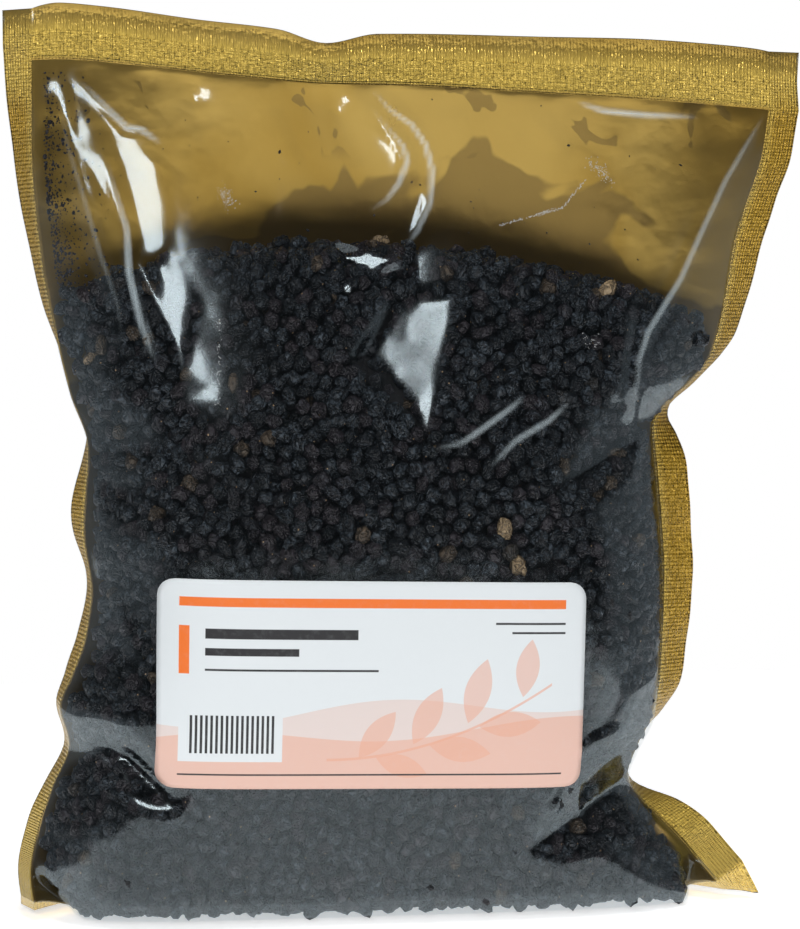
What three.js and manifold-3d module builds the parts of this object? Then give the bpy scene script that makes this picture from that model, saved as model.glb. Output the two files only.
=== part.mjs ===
// A heat-sealed pouch of dried elderberries, standing on its filled base.
// Four pieces: a gold back film, a clear front film, the berries between them and a stuck-on label.
// Millimetres. +X is the pouch's right as it faces the viewer, -Y is its front, +Z is up.
// The origin is on the surface it stands on, below the middle of its bounding box.

import * as THREE from "three";
import { mergeVertices } from "three/addons/utils/BufferGeometryUtils.js";
import Module from "manifold-3d";

const wasm = await Module();
wasm.setup();

// Driving dimensions

const FILM = 0.6; // thickness of each film
const GAP = 0.3; // clearance between pieces that touch
const SIDE_SEAL = 8.8; // width of the side seals
const BASE_SEAL = 8.4; // width of the bottom seal
const TOP_SEAL = 8.2; // height of the top seal, below the loose lip
const LABEL = { width: 102, height: 49.6, corner: 4, x: -13.6, z: 58.2, tilt: -1.2 };
const FOOT = 0.75; // height of the wall's middle where it lies on the table
const DEPTH_SHIFT = 2.1; // moves the pouch back, so that its box is centred on the origin

// Mesh fineness

const ACROSS = 20; // cells between the side seams
const UP = 24; // cells between the bottom and top seams
const BERRY = 8.4; // spacing of the larger-than-life berries
const BERRY_RELIEF = 2.4; // height of a berry above the dips round it
const FILL_GAP = 1; // least clearance between the berries and the middle of the wall
const FILL_EDGE = 0.94; // share of the way to the side seams that the berries reach
const FILL_FACE = 165; // length up the front of the heap that the rows of berries fill
const FOOT_ROWS = 3; // plain rows under the heap
const TOP_ROWS = 5; // half rows of berries over the top of the heap
const LOW_STATION = 0.04; // station under the middle of the heap where its front starts
const LOW_RISE = 0.07; // how much higher it starts at the sides
const FOOT_STATION = 0.175; // station at which the front stands clear of the table
const END_SHRINK = 0.25; // share of their relief that the berries lose at the sides
const BROW = 1.2; // drop of the heap's top behind the front film
// Stations down its back
const BACK_ROWS = [0.7, 0.65, 0.62, 0.55, 0.45, 0.35, 0.27, 0.23, 0.2, 0.17, 0.13];

// Stations up the pouch, from the bottom seam at 0 to the top seam at 1.
// Each row is [station, value].

const SIDE_HEIGHT = [
  [0, 4.5], [0.07, 8], [0.13, 12.5], [0.2, 21], [0.25, 30], [0.35, 52],
  [0.5, 88], [0.62, 116], [0.75, 145], [0.87, 173], [1, 200],
];
const SIDE_DEPTH = [
  [0, -12], [0.07, -8.5], [0.13, -4.5], [0.2, 1], [0.25, 3.5], [0.35, 6],
  [0.5, 7], [0.62, 7], [0.75, 6], [0.87, 5], [1, 4.5],
];
const FRONT_HEIGHT = [
  [0, 0.75], [0.07, 0.75], [0.13, 0.75], [0.16, 4.5], [0.2, 13], [0.25, 26],
  [0.35, 51], [0.5, 88], [0.62, 116], [0.75, 145], [0.87, 173], [1, 200],
];
const FRONT_DEPTH = [
  [0, 20], [0.07, 0], [0.13, -21.5], [0.16, -26], [0.2, -28.2], [0.25, -29.5],
  [0.35, -30.8], [0.5, -31], [0.62, -27.5], [0.75, -19.5], [0.87, -9.5], [1, 4.5],
];
const BACK_HEIGHT = [
  [0, 0.75], [0.07, 9], [0.13, 20], [0.2, 32], [0.25, 40], [0.35, 58],
  [0.5, 90], [0.62, 117], [0.75, 146], [0.87, 173], [1, 200],
];
const BACK_DEPTH = [
  [0, 20], [0.07, 23], [0.13, 25], [0.2, 26.4], [0.25, 27], [0.35, 27.4],
  [0.5, 26.5], [0.62, 24], [0.75, 19.5], [0.87, 12.5], [1, 4.5],
];

// How flat the front is between its side seams, low down and high up, and the stations where it changes
const FLATNESS = { low: 6, high: 3.4, from: 0.42, to: 0.8 };

// The side seams seen from the front, each row [height, x]. They buckle inwards at two heights a side.

const LEFT_SEAM = [
  [0, -93], [10, -94.5], [20, -92.5], [30, -89], [40, -85], [49, -87.2], [57, -84], [66, -80.8],
  [78, -79.2], [92, -81], [112, -79.8], [125, -84.2], [140, -88], [155, -90.8], [180, -93], [208, -92.8],
];
const RIGHT_SEAM = [
  [0, 78.5], [7, 73], [13, 68.5], [19, 63], [24, 58.5], [29, 56], [36, 58.5], [44, 62.6], [56, 64.5],
  [80, 65.3], [108, 63.3], [118, 62.6], [123, 65.5], [129, 72], [136, 77.5], [150, 81], [166, 83.5],
  [176, 86.5], [188, 90.2], [200, 92],
];
// How far each side seal is turned back from sideways, in degrees at [height, angle].
const LEFT_FOLD = [
  [0, 68], [10, 68], [22, 70], [33, 80], [48, 84], [62, 76], [82, 84], [98, 68], [112, 84],
  [120, 96], [136, 92], [148, 80], [160, 74], [172, 66], [186, 58], [200, 44], [212, 36],
];
const RIGHT_FOLD = [
  [0, 4], [12, 8], [20, 30], [27, 76], [38, 78], [44, 60], [52, 34], [66, 20], [90, 6], [106, 4],
  [116, 30], [124, 66], [132, 64], [142, 42], [154, 30], [172, 18], [212, 14],
];

const EAR_RAKE = 35; // how far the right bottom corner of the seal rises outwards, in degrees

// The lower line of the top seal and the cut top edge, each row [x, height].

const SEAL_LINE = [
  [-100, 207.5], [-86, 208.4], [-64, 206.8], [-45, 205], [-20, 203.2], [0, 203], [25, 202],
  [50, 200.8], [75, 199.4], [100, 197.5],
];
const TOP_EDGE = [
  [-101, 214.5], [-97, 218.5], [-86, 221.9], [-76, 221.3], [-52, 218.4], [-33, 216.3], [-21, 213],
  [-8, 215.5], [10, 215.8], [36, 215.5], [55, 215.3], [75, 214.4], [88, 213.4], [101, 210.6],
];

// Folds in the front film, each a line from a to b that fades towards b.
// They are pushed in, or out where their depth is below 0.

const FOLDS = [
  { a: [-88, 49], b: [-58, 30], depth: 9, width: 7 },
  { a: [-82, 112], b: [-66, 100], depth: 6, width: 7 },
  { a: [62, 119], b: [30, 104], depth: 7, width: 8 },
  { a: [58, 34], b: [24, 17], depth: 10, width: 9 },
  { a: [92, 196], b: [56, 120], depth: -3.2, width: 9 },
  { a: [-88, 200], b: [-54, 128], depth: -2.6, width: 10 },
  { a: [-55, 203], b: [-50, 184], depth: 3, width: 8 },
  { a: [-20, 201], b: [-14, 182], depth: 3.4, width: 8 },
  { a: [-10, 200], b: [4, 168], depth: -3, width: 7 },
  { a: [-2, 160], b: [4, 118], depth: 3, width: 17 },
];

// The top of the heap of berries, seen from the front
const HEAP_TOP = 161.5;
const HEAP_TOP_X = -20;
const HEAP_SLOPE = { left: 0.0026, right: 0.0021 };

// Small helpers

const clamp = (value, low, high) => Math.min(high, Math.max(low, value));

function smooth(low, high, value) {
  const t = clamp((value - low) / (high - low), 0, 1);
  return t * t * (3 - 2 * t);
}

// A smooth curve through rows of [position, value] that never overshoots them.
function through(rows) {
  const last = rows.length - 1;
  const slopes = [];
  for (let i = 0; i < last; i++) slopes.push((rows[i + 1][1] - rows[i][1]) / (rows[i + 1][0] - rows[i][0]));
  const tangents = rows.map((_, i) => {
    if (i === 0) return slopes[0];
    if (i === last) return slopes[last - 1];
    if (slopes[i - 1] * slopes[i] <= 0) return 0;
    return (2 * slopes[i - 1] * slopes[i]) / (slopes[i - 1] + slopes[i]);
  });
  return (position) => {
    const at = clamp(position, rows[0][0], rows[last][0]);
    let i = 0;
    while (i < last - 1 && at > rows[i + 1][0]) i++;
    const span = rows[i + 1][0] - rows[i][0];
    const t = (at - rows[i][0]) / span;
    const rise = rows[i + 1][1] - rows[i][1];
    const ease = t * t * (3 - 2 * t);
    const startPull = t * (1 - t) * (1 - t) * span * tangents[i];
    const endPull = t * t * (1 - t) * span * tangents[i + 1];
    return rows[i][1] + rise * ease + startPull - endPull;
  };
}

const sideHeight = through(SIDE_HEIGHT);
const sideDepth = through(SIDE_DEPTH);
const leftSeam = through(LEFT_SEAM);
const rightSeam = through(RIGHT_SEAM);
const leftFold = through(LEFT_FOLD);
const rightFold = through(RIGHT_FOLD);
const sealLine = through(SEAL_LINE);
const topEdge = through(TOP_EDGE);
const FRONT = { height: through(FRONT_HEIGHT), depth: through(FRONT_DEPTH), side: -1 };
const BACK = { height: through(BACK_HEIGHT), depth: through(BACK_DEPTH), side: 1 };

function heapTop(x) {
  const slope = x < HEAP_TOP_X ? HEAP_SLOPE.left : HEAP_SLOPE.right;
  return HEAP_TOP - slope * (x - HEAP_TOP_X) ** 2;
}

// How far a fold pushes the front film in at a point of it, seen from the front.
function foldDepth(x, z) {
  let total = 0;
  for (const { a, b, depth, width } of FOLDS) {
    const dx = b[0] - a[0];
    const dz = b[1] - a[1];
    const along = clamp(((x - a[0]) * dx + (z - a[1]) * dz) / (dx * dx + dz * dz), 0, 1);
    const off = Math.hypot(x - a[0] - along * dx, z - a[1] - along * dz);
    total += depth * (1 - along) ** 0.8 * Math.max(0, 1 - off / width) ** 1.4;
  }
  return total * smooth(3, 12, z);
}

// How much of the middle's bulge is left at a share of the way from the middle (0) to a side seam (1).
function bulge(face, share, station) {
  const change = smooth(FLATNESS.from, FLATNESS.to, station);
  const flatness = FLATNESS.low + (FLATNESS.high - FLATNESS.low) * change;
  const own = face === FRONT ? (1 - Math.abs(share) ** flatness) ** 0.72 : 1 - Math.abs(share) ** 2.4;
  const shared = 1 - Math.abs(share) ** 3;
  return shared + (own - shared) * smooth(0, 0.16, station);
}
const plateau = (share) => 1 - smooth(0.86, 1, Math.abs(share));

// A point midway through the pouch wall: across from -1 to 1 between the side seams, station from 0 to 1.
function wallPoint(face, across, station) {
  const flat = plateau(across);
  const seamHeight = sideHeight(station);
  const half = (across + 1) / 2;
  let z = seamHeight + (face.height(station) - seamHeight) * flat;
  const x = leftSeam(z) + (rightSeam(z) - leftSeam(z)) * half;
  z *= 1 + (sealLine(x) / SIDE_HEIGHT.at(-1)[1] - 1) * smooth(0.45, 1, station);
  const seamDepth = sideDepth(station);
  let y = seamDepth + (face.depth(station) - seamDepth) * bulge(face, across, station);
  const clearOfSeams = (1 - smooth(0.74, 1, Math.abs(across))) * (1 - smooth(0.96, 1, station));
  if (face.side < 0) y += foldDepth(x, z) * clearOfSeams;
  return new THREE.Vector3(x, y, z);
}

// The same, past the seams as well: over and up count millimetres into the side, bottom and top seals.
function filmPoint(face, across, station, over, up) {
  const point = wallPoint(face, across, station);
  if (up > 0) {
    const top = topEdge(point.x);
    const share = up / (TOP_SEAL + 1);
    point.z += share <= 1 ? (up * (top - point.z)) / 15 : top - point.z;
    point.y += 0.9 * Math.sin(point.x / 13) * Math.min(1, share);
  }
  if (over !== 0) {
    const left = over < 0;
    const angle = THREE.MathUtils.degToRad((left ? leftFold : rightFold)(point.z));
    const rake = THREE.MathUtils.degToRad(left ? 0 : EAR_RAKE * (1 - smooth(12, 30, point.z)));
    point.x += over * Math.cos(angle) * Math.cos(rake);
    point.y += Math.abs(over) * Math.sin(angle);
    point.z += Math.abs(over) * Math.cos(angle) * Math.sin(rake);
  }
  if (up < 0) {
    const drop = clamp((point.z - FOOT) / BASE_SEAL, 0, 1);
    if (across > 0) point.x -= 0.5 * up * (1 - plateau(across));
    point.y -= up * Math.sqrt(1 - drop * drop);
    point.z += up * drop;
  }
  return point;
}

// Rows and columns of a film's mesh, the seals included

const columns = [];
for (const over of [-SIDE_SEAL, -SIDE_SEAL / 2]) columns.push({ across: -1, over });
for (let i = 0; i <= ACROSS; i++) {
  const even = (2 * i) / ACROSS - 1;
  columns.push({ across: 0.55 * even + 0.45 * Math.sin((even * Math.PI) / 2), over: 0 });
}
for (const over of [SIDE_SEAL / 2, SIDE_SEAL]) columns.push({ across: 1, over });

const rows = [{ station: 0, up: -BASE_SEAL }];
for (let j = 0; j <= UP; j++) rows.push({ station: (j / UP) ** 0.96, up: 0 });
for (const up of [TOP_SEAL / 2, TOP_SEAL, 2 * TOP_SEAL]) rows.push({ station: 1, up });

function filmGrid(face) {
  return rows.map(({ station, up }) => {
    return columns.map(({ across, over }) => filmPoint(face, across, station, over, up));
  });
}

// Outward direction at each point of a grid, taken from its neighbours
function gridNormals(grid, side) {
  return grid.map((row, j) =>
    row.map((_, i) => {
      const along = row[Math.min(i + 1, row.length - 1)].clone().sub(row[Math.max(i - 1, 0)]);
      const upward = grid[Math.min(j + 1, grid.length - 1)][i].clone().sub(grid[Math.max(j - 1, 0)][i]);
      return along.cross(upward).normalize().multiplyScalar(-side);
    }),
  );
}

// A closed sheet between two distances out from a grid of points
function slab(grid, normals, near, far) {
  const high = grid.length;
  const wide = grid[0].length;
  const outward = normals[0][0].clone();
  const positions = [];
  for (const distance of [near, far])
    for (let j = 0; j < high; j++)
      for (let i = 0; i < wide; i++)
        positions.push(...grid[j][i].clone().addScaledVector(normals[j][i], distance));
  const at = (layer, j, i) => layer * high * wide + j * wide + i;
  const faces = [];
  const quad = (a, b, c, d) => faces.push(a, b, c, a, c, d);
  for (let j = 0; j < high - 1; j++)
    for (let i = 0; i < wide - 1; i++) {
      quad(at(1, j, i), at(1, j, i + 1), at(1, j + 1, i + 1), at(1, j + 1, i));
      quad(at(0, j, i), at(0, j + 1, i), at(0, j + 1, i + 1), at(0, j, i + 1));
    }
  for (let i = 0; i < wide - 1; i++) {
    quad(at(0, 0, i), at(0, 0, i + 1), at(1, 0, i + 1), at(1, 0, i));
    quad(at(1, high - 1, i), at(1, high - 1, i + 1), at(0, high - 1, i + 1), at(0, high - 1, i));
  }
  for (let j = 0; j < high - 1; j++) {
    quad(at(1, j, 0), at(1, j + 1, 0), at(0, j + 1, 0), at(0, j, 0));
    quad(at(0, j, wide - 1), at(0, j + 1, wide - 1), at(1, j + 1, wide - 1), at(1, j, wide - 1));
  }
  const along = grid[0][1].clone().sub(grid[0][0]);
  const upward = grid[1][0].clone().sub(grid[0][0]);
  if (along.cross(upward).dot(outward) < 0) faces.reverse();
  return solidGeometry(positions, faces);
}

function solidGeometry(positions, faces) {
  const geometry = new THREE.BufferGeometry();
  geometry.setAttribute("position", new THREE.Float32BufferAttribute(positions, 3));
  geometry.setIndex(faces);
  return geometry;
}

// Booleans

function toSolid(geometry) {
  const bare = geometry.clone();
  bare.deleteAttribute("normal");
  bare.deleteAttribute("uv");
  const merged = mergeVertices(bare, 1e-4);
  return new wasm.Manifold(
    new wasm.Mesh({
      numProp: 3,
      vertProperties: new Float32Array(merged.attributes.position.array),
      triVerts: new Uint32Array(merged.index.array),
    }),
  );
}

function toGeometry(solid) {
  const mesh = solid.getMesh();
  return solidGeometry(Array.from(mesh.vertProperties), Array.from(mesh.triVerts));
}

// The two films

const frontGrid = filmGrid(FRONT);
const backGrid = filmGrid(BACK);
const frontNormals = gridNormals(frontGrid, FRONT.side);
const backNormals = gridNormals(backGrid, BACK.side);
const frontFilm = slab(frontGrid, frontNormals, GAP / 2, GAP / 2 + FILM);
const backFilm = slab(backGrid, backNormals, GAP / 2, GAP / 2 + FILM);

// The label: a sheet that follows the front film, cut to a rounded rectangle

function roundedRectangle({ width, height, corner }) {
  const x = width / 2;
  const y = height / 2;
  const shape = new THREE.Shape();
  shape.moveTo(-x + corner, -y);
  shape.lineTo(x - corner, -y);
  shape.absarc(x - corner, -y + corner, corner, -Math.PI / 2, 0);
  shape.lineTo(x, y - corner);
  shape.absarc(x - corner, y - corner, corner, 0, Math.PI / 2);
  shape.lineTo(-x + corner, y);
  shape.absarc(-x + corner, y - corner, corner, Math.PI / 2, Math.PI);
  shape.lineTo(-x, -y + corner);
  shape.absarc(-x + corner, -y + corner, corner, Math.PI, 1.5 * Math.PI);
  return shape;
}

function makeLabel() {
  const inside = GAP * 1.5 + FILM;
  const sheet = toSolid(slab(frontGrid, frontNormals, inside, inside + FILM));
  const cutter = new THREE.ExtrudeGeometry(roundedRectangle(LABEL), {
    depth: 40,
    bevelEnabled: false,
    curveSegments: 4,
  });
  cutter.rotateX(Math.PI / 2);
  cutter.rotateY(THREE.MathUtils.degToRad(-LABEL.tilt));
  cutter.translate(LABEL.x, -2, LABEL.z);
  return toGeometry(sheet.intersect(toSolid(cutter)));
}

// The berries: a loft of rings from side to side, with berries raised from it on the front and the top

// A repeatable draw from 0 to 1 for a pair of whole numbers
function draw(i, j) {
  const mixed = Math.sin(i * 127.1 + j * 311.7) * 43758.5453;
  return mixed - Math.floor(mixed);
}

// Height of the round berries packed in staggered rows, at a place counted in quarter berries and half rows
function berryRelief(quarter, halfRow) {
  const row = Math.floor(halfRow / 2);
  const shift = row % 2 === 0 ? 0 : 2;
  const phase = (((quarter - shift) % 4) + 4) % 4;
  const berry = draw(Math.floor((quarter - shift + 2) / 4), row);
  const onRow = halfRow % 2 === 0;
  const shape = onRow ? [1, 0.8, 0, 0.8][phase] : [0.5, 0, 0.5, 0][phase];
  return shape * (0.75 + 0.5 * berry);
}

// The station at which the front wall reaches a height, in one column across
function stationAt(across, height) {
  let station = 0.5;
  while (station < 0.98 && wallPoint(FRONT, across, station).z < height) station += 0.002;
  return station;
}

// A point of the berries' surface, in from the wall, with the relief of the berries raised back towards it
function fillPoint(face, across, station, relief) {
  const step = 0.004;
  const point = wallPoint(face, across, station);
  const along = wallPoint(face, across + step, station).sub(wallPoint(face, across - step, station));
  const upward = wallPoint(face, across, station + step).sub(wallPoint(face, across, station - step));
  const inward = along.cross(upward).normalize().multiplyScalar(face.side);
  const room = wallPoint(FRONT, across, station).distanceTo(wallPoint(BACK, across, station));
  const clear = Math.min(FILL_GAP + (face === FRONT ? BERRY_RELIEF * 1.25 : FILM), 0.38 * room);
  const raised = Math.min(relief * BERRY_RELIEF, Math.max(0, clear - FILL_GAP));
  return point.addScaledVector(inward, clear - raised);
}

function makeBerries() {
  const middle = (leftSeam(80) + rightSeam(80)) / 2;
  const width = (rightSeam(80) - leftSeam(80)) * FILL_EDGE;
  const ringCount = 4 * Math.round(width / BERRY);
  const halfRows = 2 * Math.round(FILL_FACE / (BERRY * Math.sqrt(3) / 2));
  const rings = [];
  for (let i = 0; i <= ringCount; i++) {
    const across = (-1 + (2 * i) / ringCount) * FILL_EDGE;
    const top = heapTop(middle + (across * width) / (2 * FILL_EDGE));
    const topStation = stationAt(across, top);
    const lowStation = LOW_STATION + LOW_RISE * across ** 6;
    const shrink = 1 - END_SHRINK * across ** 6;
    const ring = [];
    for (let k = 0; k < FOOT_ROWS; k++)
      ring.push(fillPoint(FRONT, across, lowStation + ((FOOT_STATION - lowStation) * k) / FOOT_ROWS, 0));
    for (let j = 0; j <= halfRows; j++) {
      const station = FOOT_STATION + ((topStation - FOOT_STATION) * j) / halfRows;
      ring.push(fillPoint(FRONT, across, station, berryRelief(i, j) * shrink));
    }
    const brow = wallPoint(FRONT, across, topStation);
    const rear = wallPoint(BACK, across, topStation);
    for (let k = 1; k < TOP_ROWS; k++) {
      const point = brow.clone().lerp(rear, 0.1 + (0.8 * k) / TOP_ROWS);
      point.z += berryRelief(i, halfRows + k) * BERRY_RELIEF * shrink - BROW;
      ring.push(point);
    }
    ring.push(fillPoint(BACK, across, topStation, 0));
    for (const station of BACK_ROWS) ring.push(fillPoint(BACK, across, station, 0));
    rings.push(ring);
  }
  const around = rings[0].length;
  const positions = rings.flat().flatMap((p) => [p.x, p.y, p.z]);
  const faces = [];
  const at = (i, j) => i * around + ((j + around) % around);
  // Each quad is split between its two most alike corners, so that every berry is a dome of its own.
  const relief = (i, j) => (j < FOOT_ROWS ? 0 : berryRelief(i, j - FOOT_ROWS));
  for (let i = 0; i < ringCount; i++)
    for (let j = 0; j < around; j++) {
      const [a, b, c, d] = [at(i, j), at(i + 1, j), at(i + 1, j + 1), at(i, j + 1)];
      const rising = Math.abs(relief(i, j) - relief(i + 1, j + 1));
      const falling = Math.abs(relief(i + 1, j) - relief(i, j + 1));
      if (rising < falling) faces.push(a, b, c, a, c, d);
      else faces.push(a, b, d, b, c, d);
    }
  // Each end is closed by working up the front and the back of its ring together.
  for (const [i, flip] of [[0, true], [ringCount, false]]) {
    let front = 0;
    let rear = around - 1;
    while (rear - front > 1) {
      const stepFront = rings[i][front + 1].z < rings[i][rear - 1].z;
      const corners = [at(i, front), at(i, rear), at(i, stepFront ? front + 1 : rear - 1)];
      faces.push(...(flip ? corners.reverse() : corners));
      if (stepFront) front++;
      else rear--;
    }
  }
  return solidGeometry(positions, faces);
}

// Materials

const goldFilm = new THREE.MeshStandardMaterial({ color: 0xb8923f, roughness: 0.32, metalness: 0.9 });
const clearFilm = new THREE.MeshStandardMaterial({
  color: 0xdfe6e8,
  roughness: 0.08,
  metalness: 0,
  transparent: true,
  opacity: 0.25,
});
const driedBerry = new THREE.MeshStandardMaterial({ color: 0x17171b, roughness: 0.6, metalness: 0 });
const labelPaper = new THREE.MeshStandardMaterial({ color: 0xe9eef0, roughness: 0.45, metalness: 0 });

// Assembly

const pouch = new THREE.Group();
pouch.position.y = DEPTH_SHIFT;
const pieces = [
  ["back_film", backFilm, goldFilm],
  ["front_film", frontFilm, clearFilm],
  ["berry_fill", makeBerries(), driedBerry],
  ["label", makeLabel(), labelPaper],
];
for (const [name, geometry, material] of pieces) {
  const mesh = new THREE.Mesh(geometry, material);
  mesh.name = name;
  pouch.add(mesh);
}

export default pouch;
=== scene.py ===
"""Looks of a heat-sealed pouch of dried elderberries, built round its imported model.

The films, berries and label share one form, PouchForm, in millimetres. Meshes are in metres. On a wall of
the pouch, across runs from -1 at the left seam to 1 at the right seam, and station from 0 at the bottom
seam to 1 at the top seam.
"""

import logging
import math
from collections.abc import Callable, Iterable
from dataclasses import dataclass, field
from enum import Enum
from functools import cached_property

import bmesh
import bpy
import numpy as np
from mathutils import Euler, Matrix, Vector, kdtree, noise


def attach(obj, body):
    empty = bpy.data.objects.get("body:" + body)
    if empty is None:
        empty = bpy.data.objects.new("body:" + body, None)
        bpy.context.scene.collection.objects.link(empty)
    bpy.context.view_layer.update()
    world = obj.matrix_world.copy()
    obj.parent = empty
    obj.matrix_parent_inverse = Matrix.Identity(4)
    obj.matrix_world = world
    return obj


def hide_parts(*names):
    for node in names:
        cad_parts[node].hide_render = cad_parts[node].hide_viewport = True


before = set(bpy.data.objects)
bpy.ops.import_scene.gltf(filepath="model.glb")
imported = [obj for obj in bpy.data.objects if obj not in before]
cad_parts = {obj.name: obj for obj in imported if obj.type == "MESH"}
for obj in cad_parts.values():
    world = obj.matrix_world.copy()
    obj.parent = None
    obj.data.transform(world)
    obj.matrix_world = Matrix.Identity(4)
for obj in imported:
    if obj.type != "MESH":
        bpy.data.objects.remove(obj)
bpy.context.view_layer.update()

log = logging.getLogger("pouch")

MM = 0.001
MAP_UNIT = 100
SEED = 41
BODY = "root"
TINY = 1e-9
FAR = 1e9

Array = np.ndarray
Piece = bpy.types.Object
Material = bpy.types.Material
Socket = bpy.types.NodeSocket
BMesh = bmesh.types.BMesh
Point = tuple[float, float]
Rows = tuple[Point, ...]
Boxes = tuple[tuple[Point, Point], ...]
Colour = tuple[float, float, float]


def smooth(low: float, high: float, value: Array) -> Array:
    """A soft step from 0 at low to 1 at high.

    Args:
        low: Where the step starts.
        high: Where the step ends; it may be below low.
        value: The places to work it out at.

    Returns:
        The height of the step at each place.
    """
    t = np.clip((value - low) / (high - low), 0.0, 1.0)
    return t * t * (3 - 2 * t)


@dataclass(frozen=True)
class Curve:
    """A smooth curve through rows of position and value that never overshoots them."""

    rows: Rows

    def __call__(self, at: Array) -> Array:
        """Reads the curve.

        Args:
            at: Positions along it.

        Returns:
            The value at each position.
        """
        x = np.array([row[0] for row in self.rows])
        y = np.array([row[1] for row in self.rows])
        slopes = np.diff(y) / np.diff(x)
        product = slopes[:-1] * slopes[1:]
        total = slopes[:-1] + slopes[1:]
        inner = np.where(product > 0, 2 * product / np.where(total == 0, 1, total), 0)
        pull = np.concatenate([slopes[:1], inner, slopes[-1:]])
        at = np.clip(at, x[0], x[-1])
        i = np.clip(np.searchsorted(x, at, side="right") - 1, 0, len(x) - 2)
        span = x[i + 1] - x[i]
        t = (at - x[i]) / span
        rise = y[i + 1] - y[i]
        ease = rise * t * t * (3 - 2 * t)
        return y[i] + ease + span * (t * (1 - t) ** 2 * pull[i] - t * t * (1 - t) * pull[i + 1])


@dataclass(frozen=True)
class Fold:
    """A line along which the front film is pushed in, or out where its depth is below 0.

    edge says how sharply it falls off to its sides, and fade how fast it dies away towards its end.
    """

    start: Point
    end: Point
    depth: float
    width: float
    edge: float = 1.4
    fade: float = 0.8

    def depth_at(self, x: Array, z: Array) -> Array:
        """How far the fold pushes the film in.

        Args:
            x: Places across, in millimetres.
            z: Their heights.

        Returns:
            The depth at each place.
        """
        dx, dz = self.end[0] - self.start[0], self.end[1] - self.start[1]
        along = ((x - self.start[0]) * dx + (z - self.start[1]) * dz) / (dx * dx + dz * dz)
        along = np.clip(along, 0, 1)
        off = np.hypot(x - self.start[0] - along * dx, z - self.start[1] - along * dz)
        return self.depth * (1 - along) ** self.fade * np.clip(1 - off / self.width, 0, 1) ** self.edge


@dataclass(frozen=True)
class Crease:
    """A rounded crease along a line, pushed in, or out where its depth is below 0.

    fade says how early it dies away at both ends, and whitened_highlight how white it has made the film,
    partly the white of a sharp crease and partly a painted highlight along it.
    """

    points: Rows
    depth: float
    width: float
    fade: float = 0.6
    whitened_highlight: float = 0.0

    def profile(self, x: Array, z: Array, width: float) -> Array:
        """How much of the crease a place has.

        Args:
            x: Places across, in millimetres.
            z: Their heights.
            width: How far to each side of the line it reaches.

        Returns:
            From 0 to 1.
        """
        nearest = np.full(np.shape(x), FAR)
        share = np.zeros(np.shape(x))
        count = len(self.points) - 1
        for i, (a, b) in enumerate(zip(self.points, self.points[1:])):
            dx, dz = b[0] - a[0], b[1] - a[1]
            along = np.clip(((x - a[0]) * dx + (z - a[1]) * dz) / (dx * dx + dz * dz), 0, 1)
            off = np.hypot(x - a[0] - along * dx, z - a[1] - along * dz)
            share = np.where(off < nearest, (i + along) / count, share)
            nearest = np.minimum(nearest, off)
        ends = np.sin(np.pi * np.clip(share, 0.01, 0.99)) ** self.fade
        return ends * smooth(1, 0, nearest / width)


@dataclass(frozen=True)
class Facet:
    """A flat of stretched film between creases, its corners listed anticlockwise.

    turn and lean are its slants across and up, in degrees, soft is the width of its edge, and bow its curve.
    """

    corners: Rows
    turn: float
    lean: float
    soft: float = 5.0
    bow: float = 0.0

    def centre(self) -> Point:
        """The middle of the corners."""
        points = np.array(self.corners)
        return float(points[:, 0].mean()), float(points[:, 1].mean())

    def weight(self, x: Array, z: Array) -> Array:
        """How much of the facet a place has.

        Args:
            x: Places across, in millimetres.
            z: Their heights.

        Returns:
            1 well inside the facet, 0 outside it.
        """
        inside = np.full(np.shape(x), FAR)
        for a, b in zip(self.corners, (*self.corners[1:], self.corners[0])):
            dx, dz = b[0] - a[0], b[1] - a[1]
            inside = np.minimum(inside, (dx * (z - a[1]) - dz * (x - a[0])) / math.hypot(dx, dz))
        return smooth(0, self.soft, inside)

    def flat(self, x: Array, z: Array, depth: float) -> Array:
        """The facet's own surface, flat or slightly bowed.

        Args:
            x: Places across, in millimetres.
            z: Their heights.
            depth: The plane's depth at its centre.

        Returns:
            The plane's depth at each place.
        """
        middle = self.centre()
        slant = (math.tan(math.radians(self.turn)) + self.bow * (x - middle[0])) * (x - middle[0])
        return depth + slant + math.tan(math.radians(self.lean)) * (z - middle[1])


@dataclass(frozen=True)
class Wall:
    """One side of the pouch: its middle profile from the bottom seam to the top seam."""

    side: int
    height: Curve
    depth: Curve


FRONT = Wall(
    -1,
    Curve((
        (0, 0.75), (0.07, 0.75), (0.13, 0.75), (0.16, 4.5), (0.2, 13), (0.25, 26),
        (0.35, 51), (0.5, 88), (0.62, 116), (0.75, 145), (0.87, 173), (1, 200),
    )),
    Curve((
        (0, 20), (0.07, 0), (0.13, -21.5), (0.16, -26), (0.2, -28.2), (0.25, -29.5),
        (0.35, -30.8), (0.5, -31), (0.62, -27.5), (0.75, -19.5), (0.87, -9.5), (1, 4.5),
    )),
)
BACK = Wall(
    1,
    Curve((
        (0, 0.75), (0.07, 9), (0.13, 20), (0.2, 32), (0.25, 40), (0.35, 58),
        (0.5, 90), (0.62, 117), (0.75, 146), (0.87, 173), (1, 200),
    )),
    Curve((
        (0, 20), (0.07, 23), (0.13, 25), (0.2, 26.4), (0.25, 27), (0.35, 27.4),
        (0.5, 26.5), (0.62, 24), (0.75, 19.5), (0.87, 12.5), (1, 4.5),
    )),
)


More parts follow.
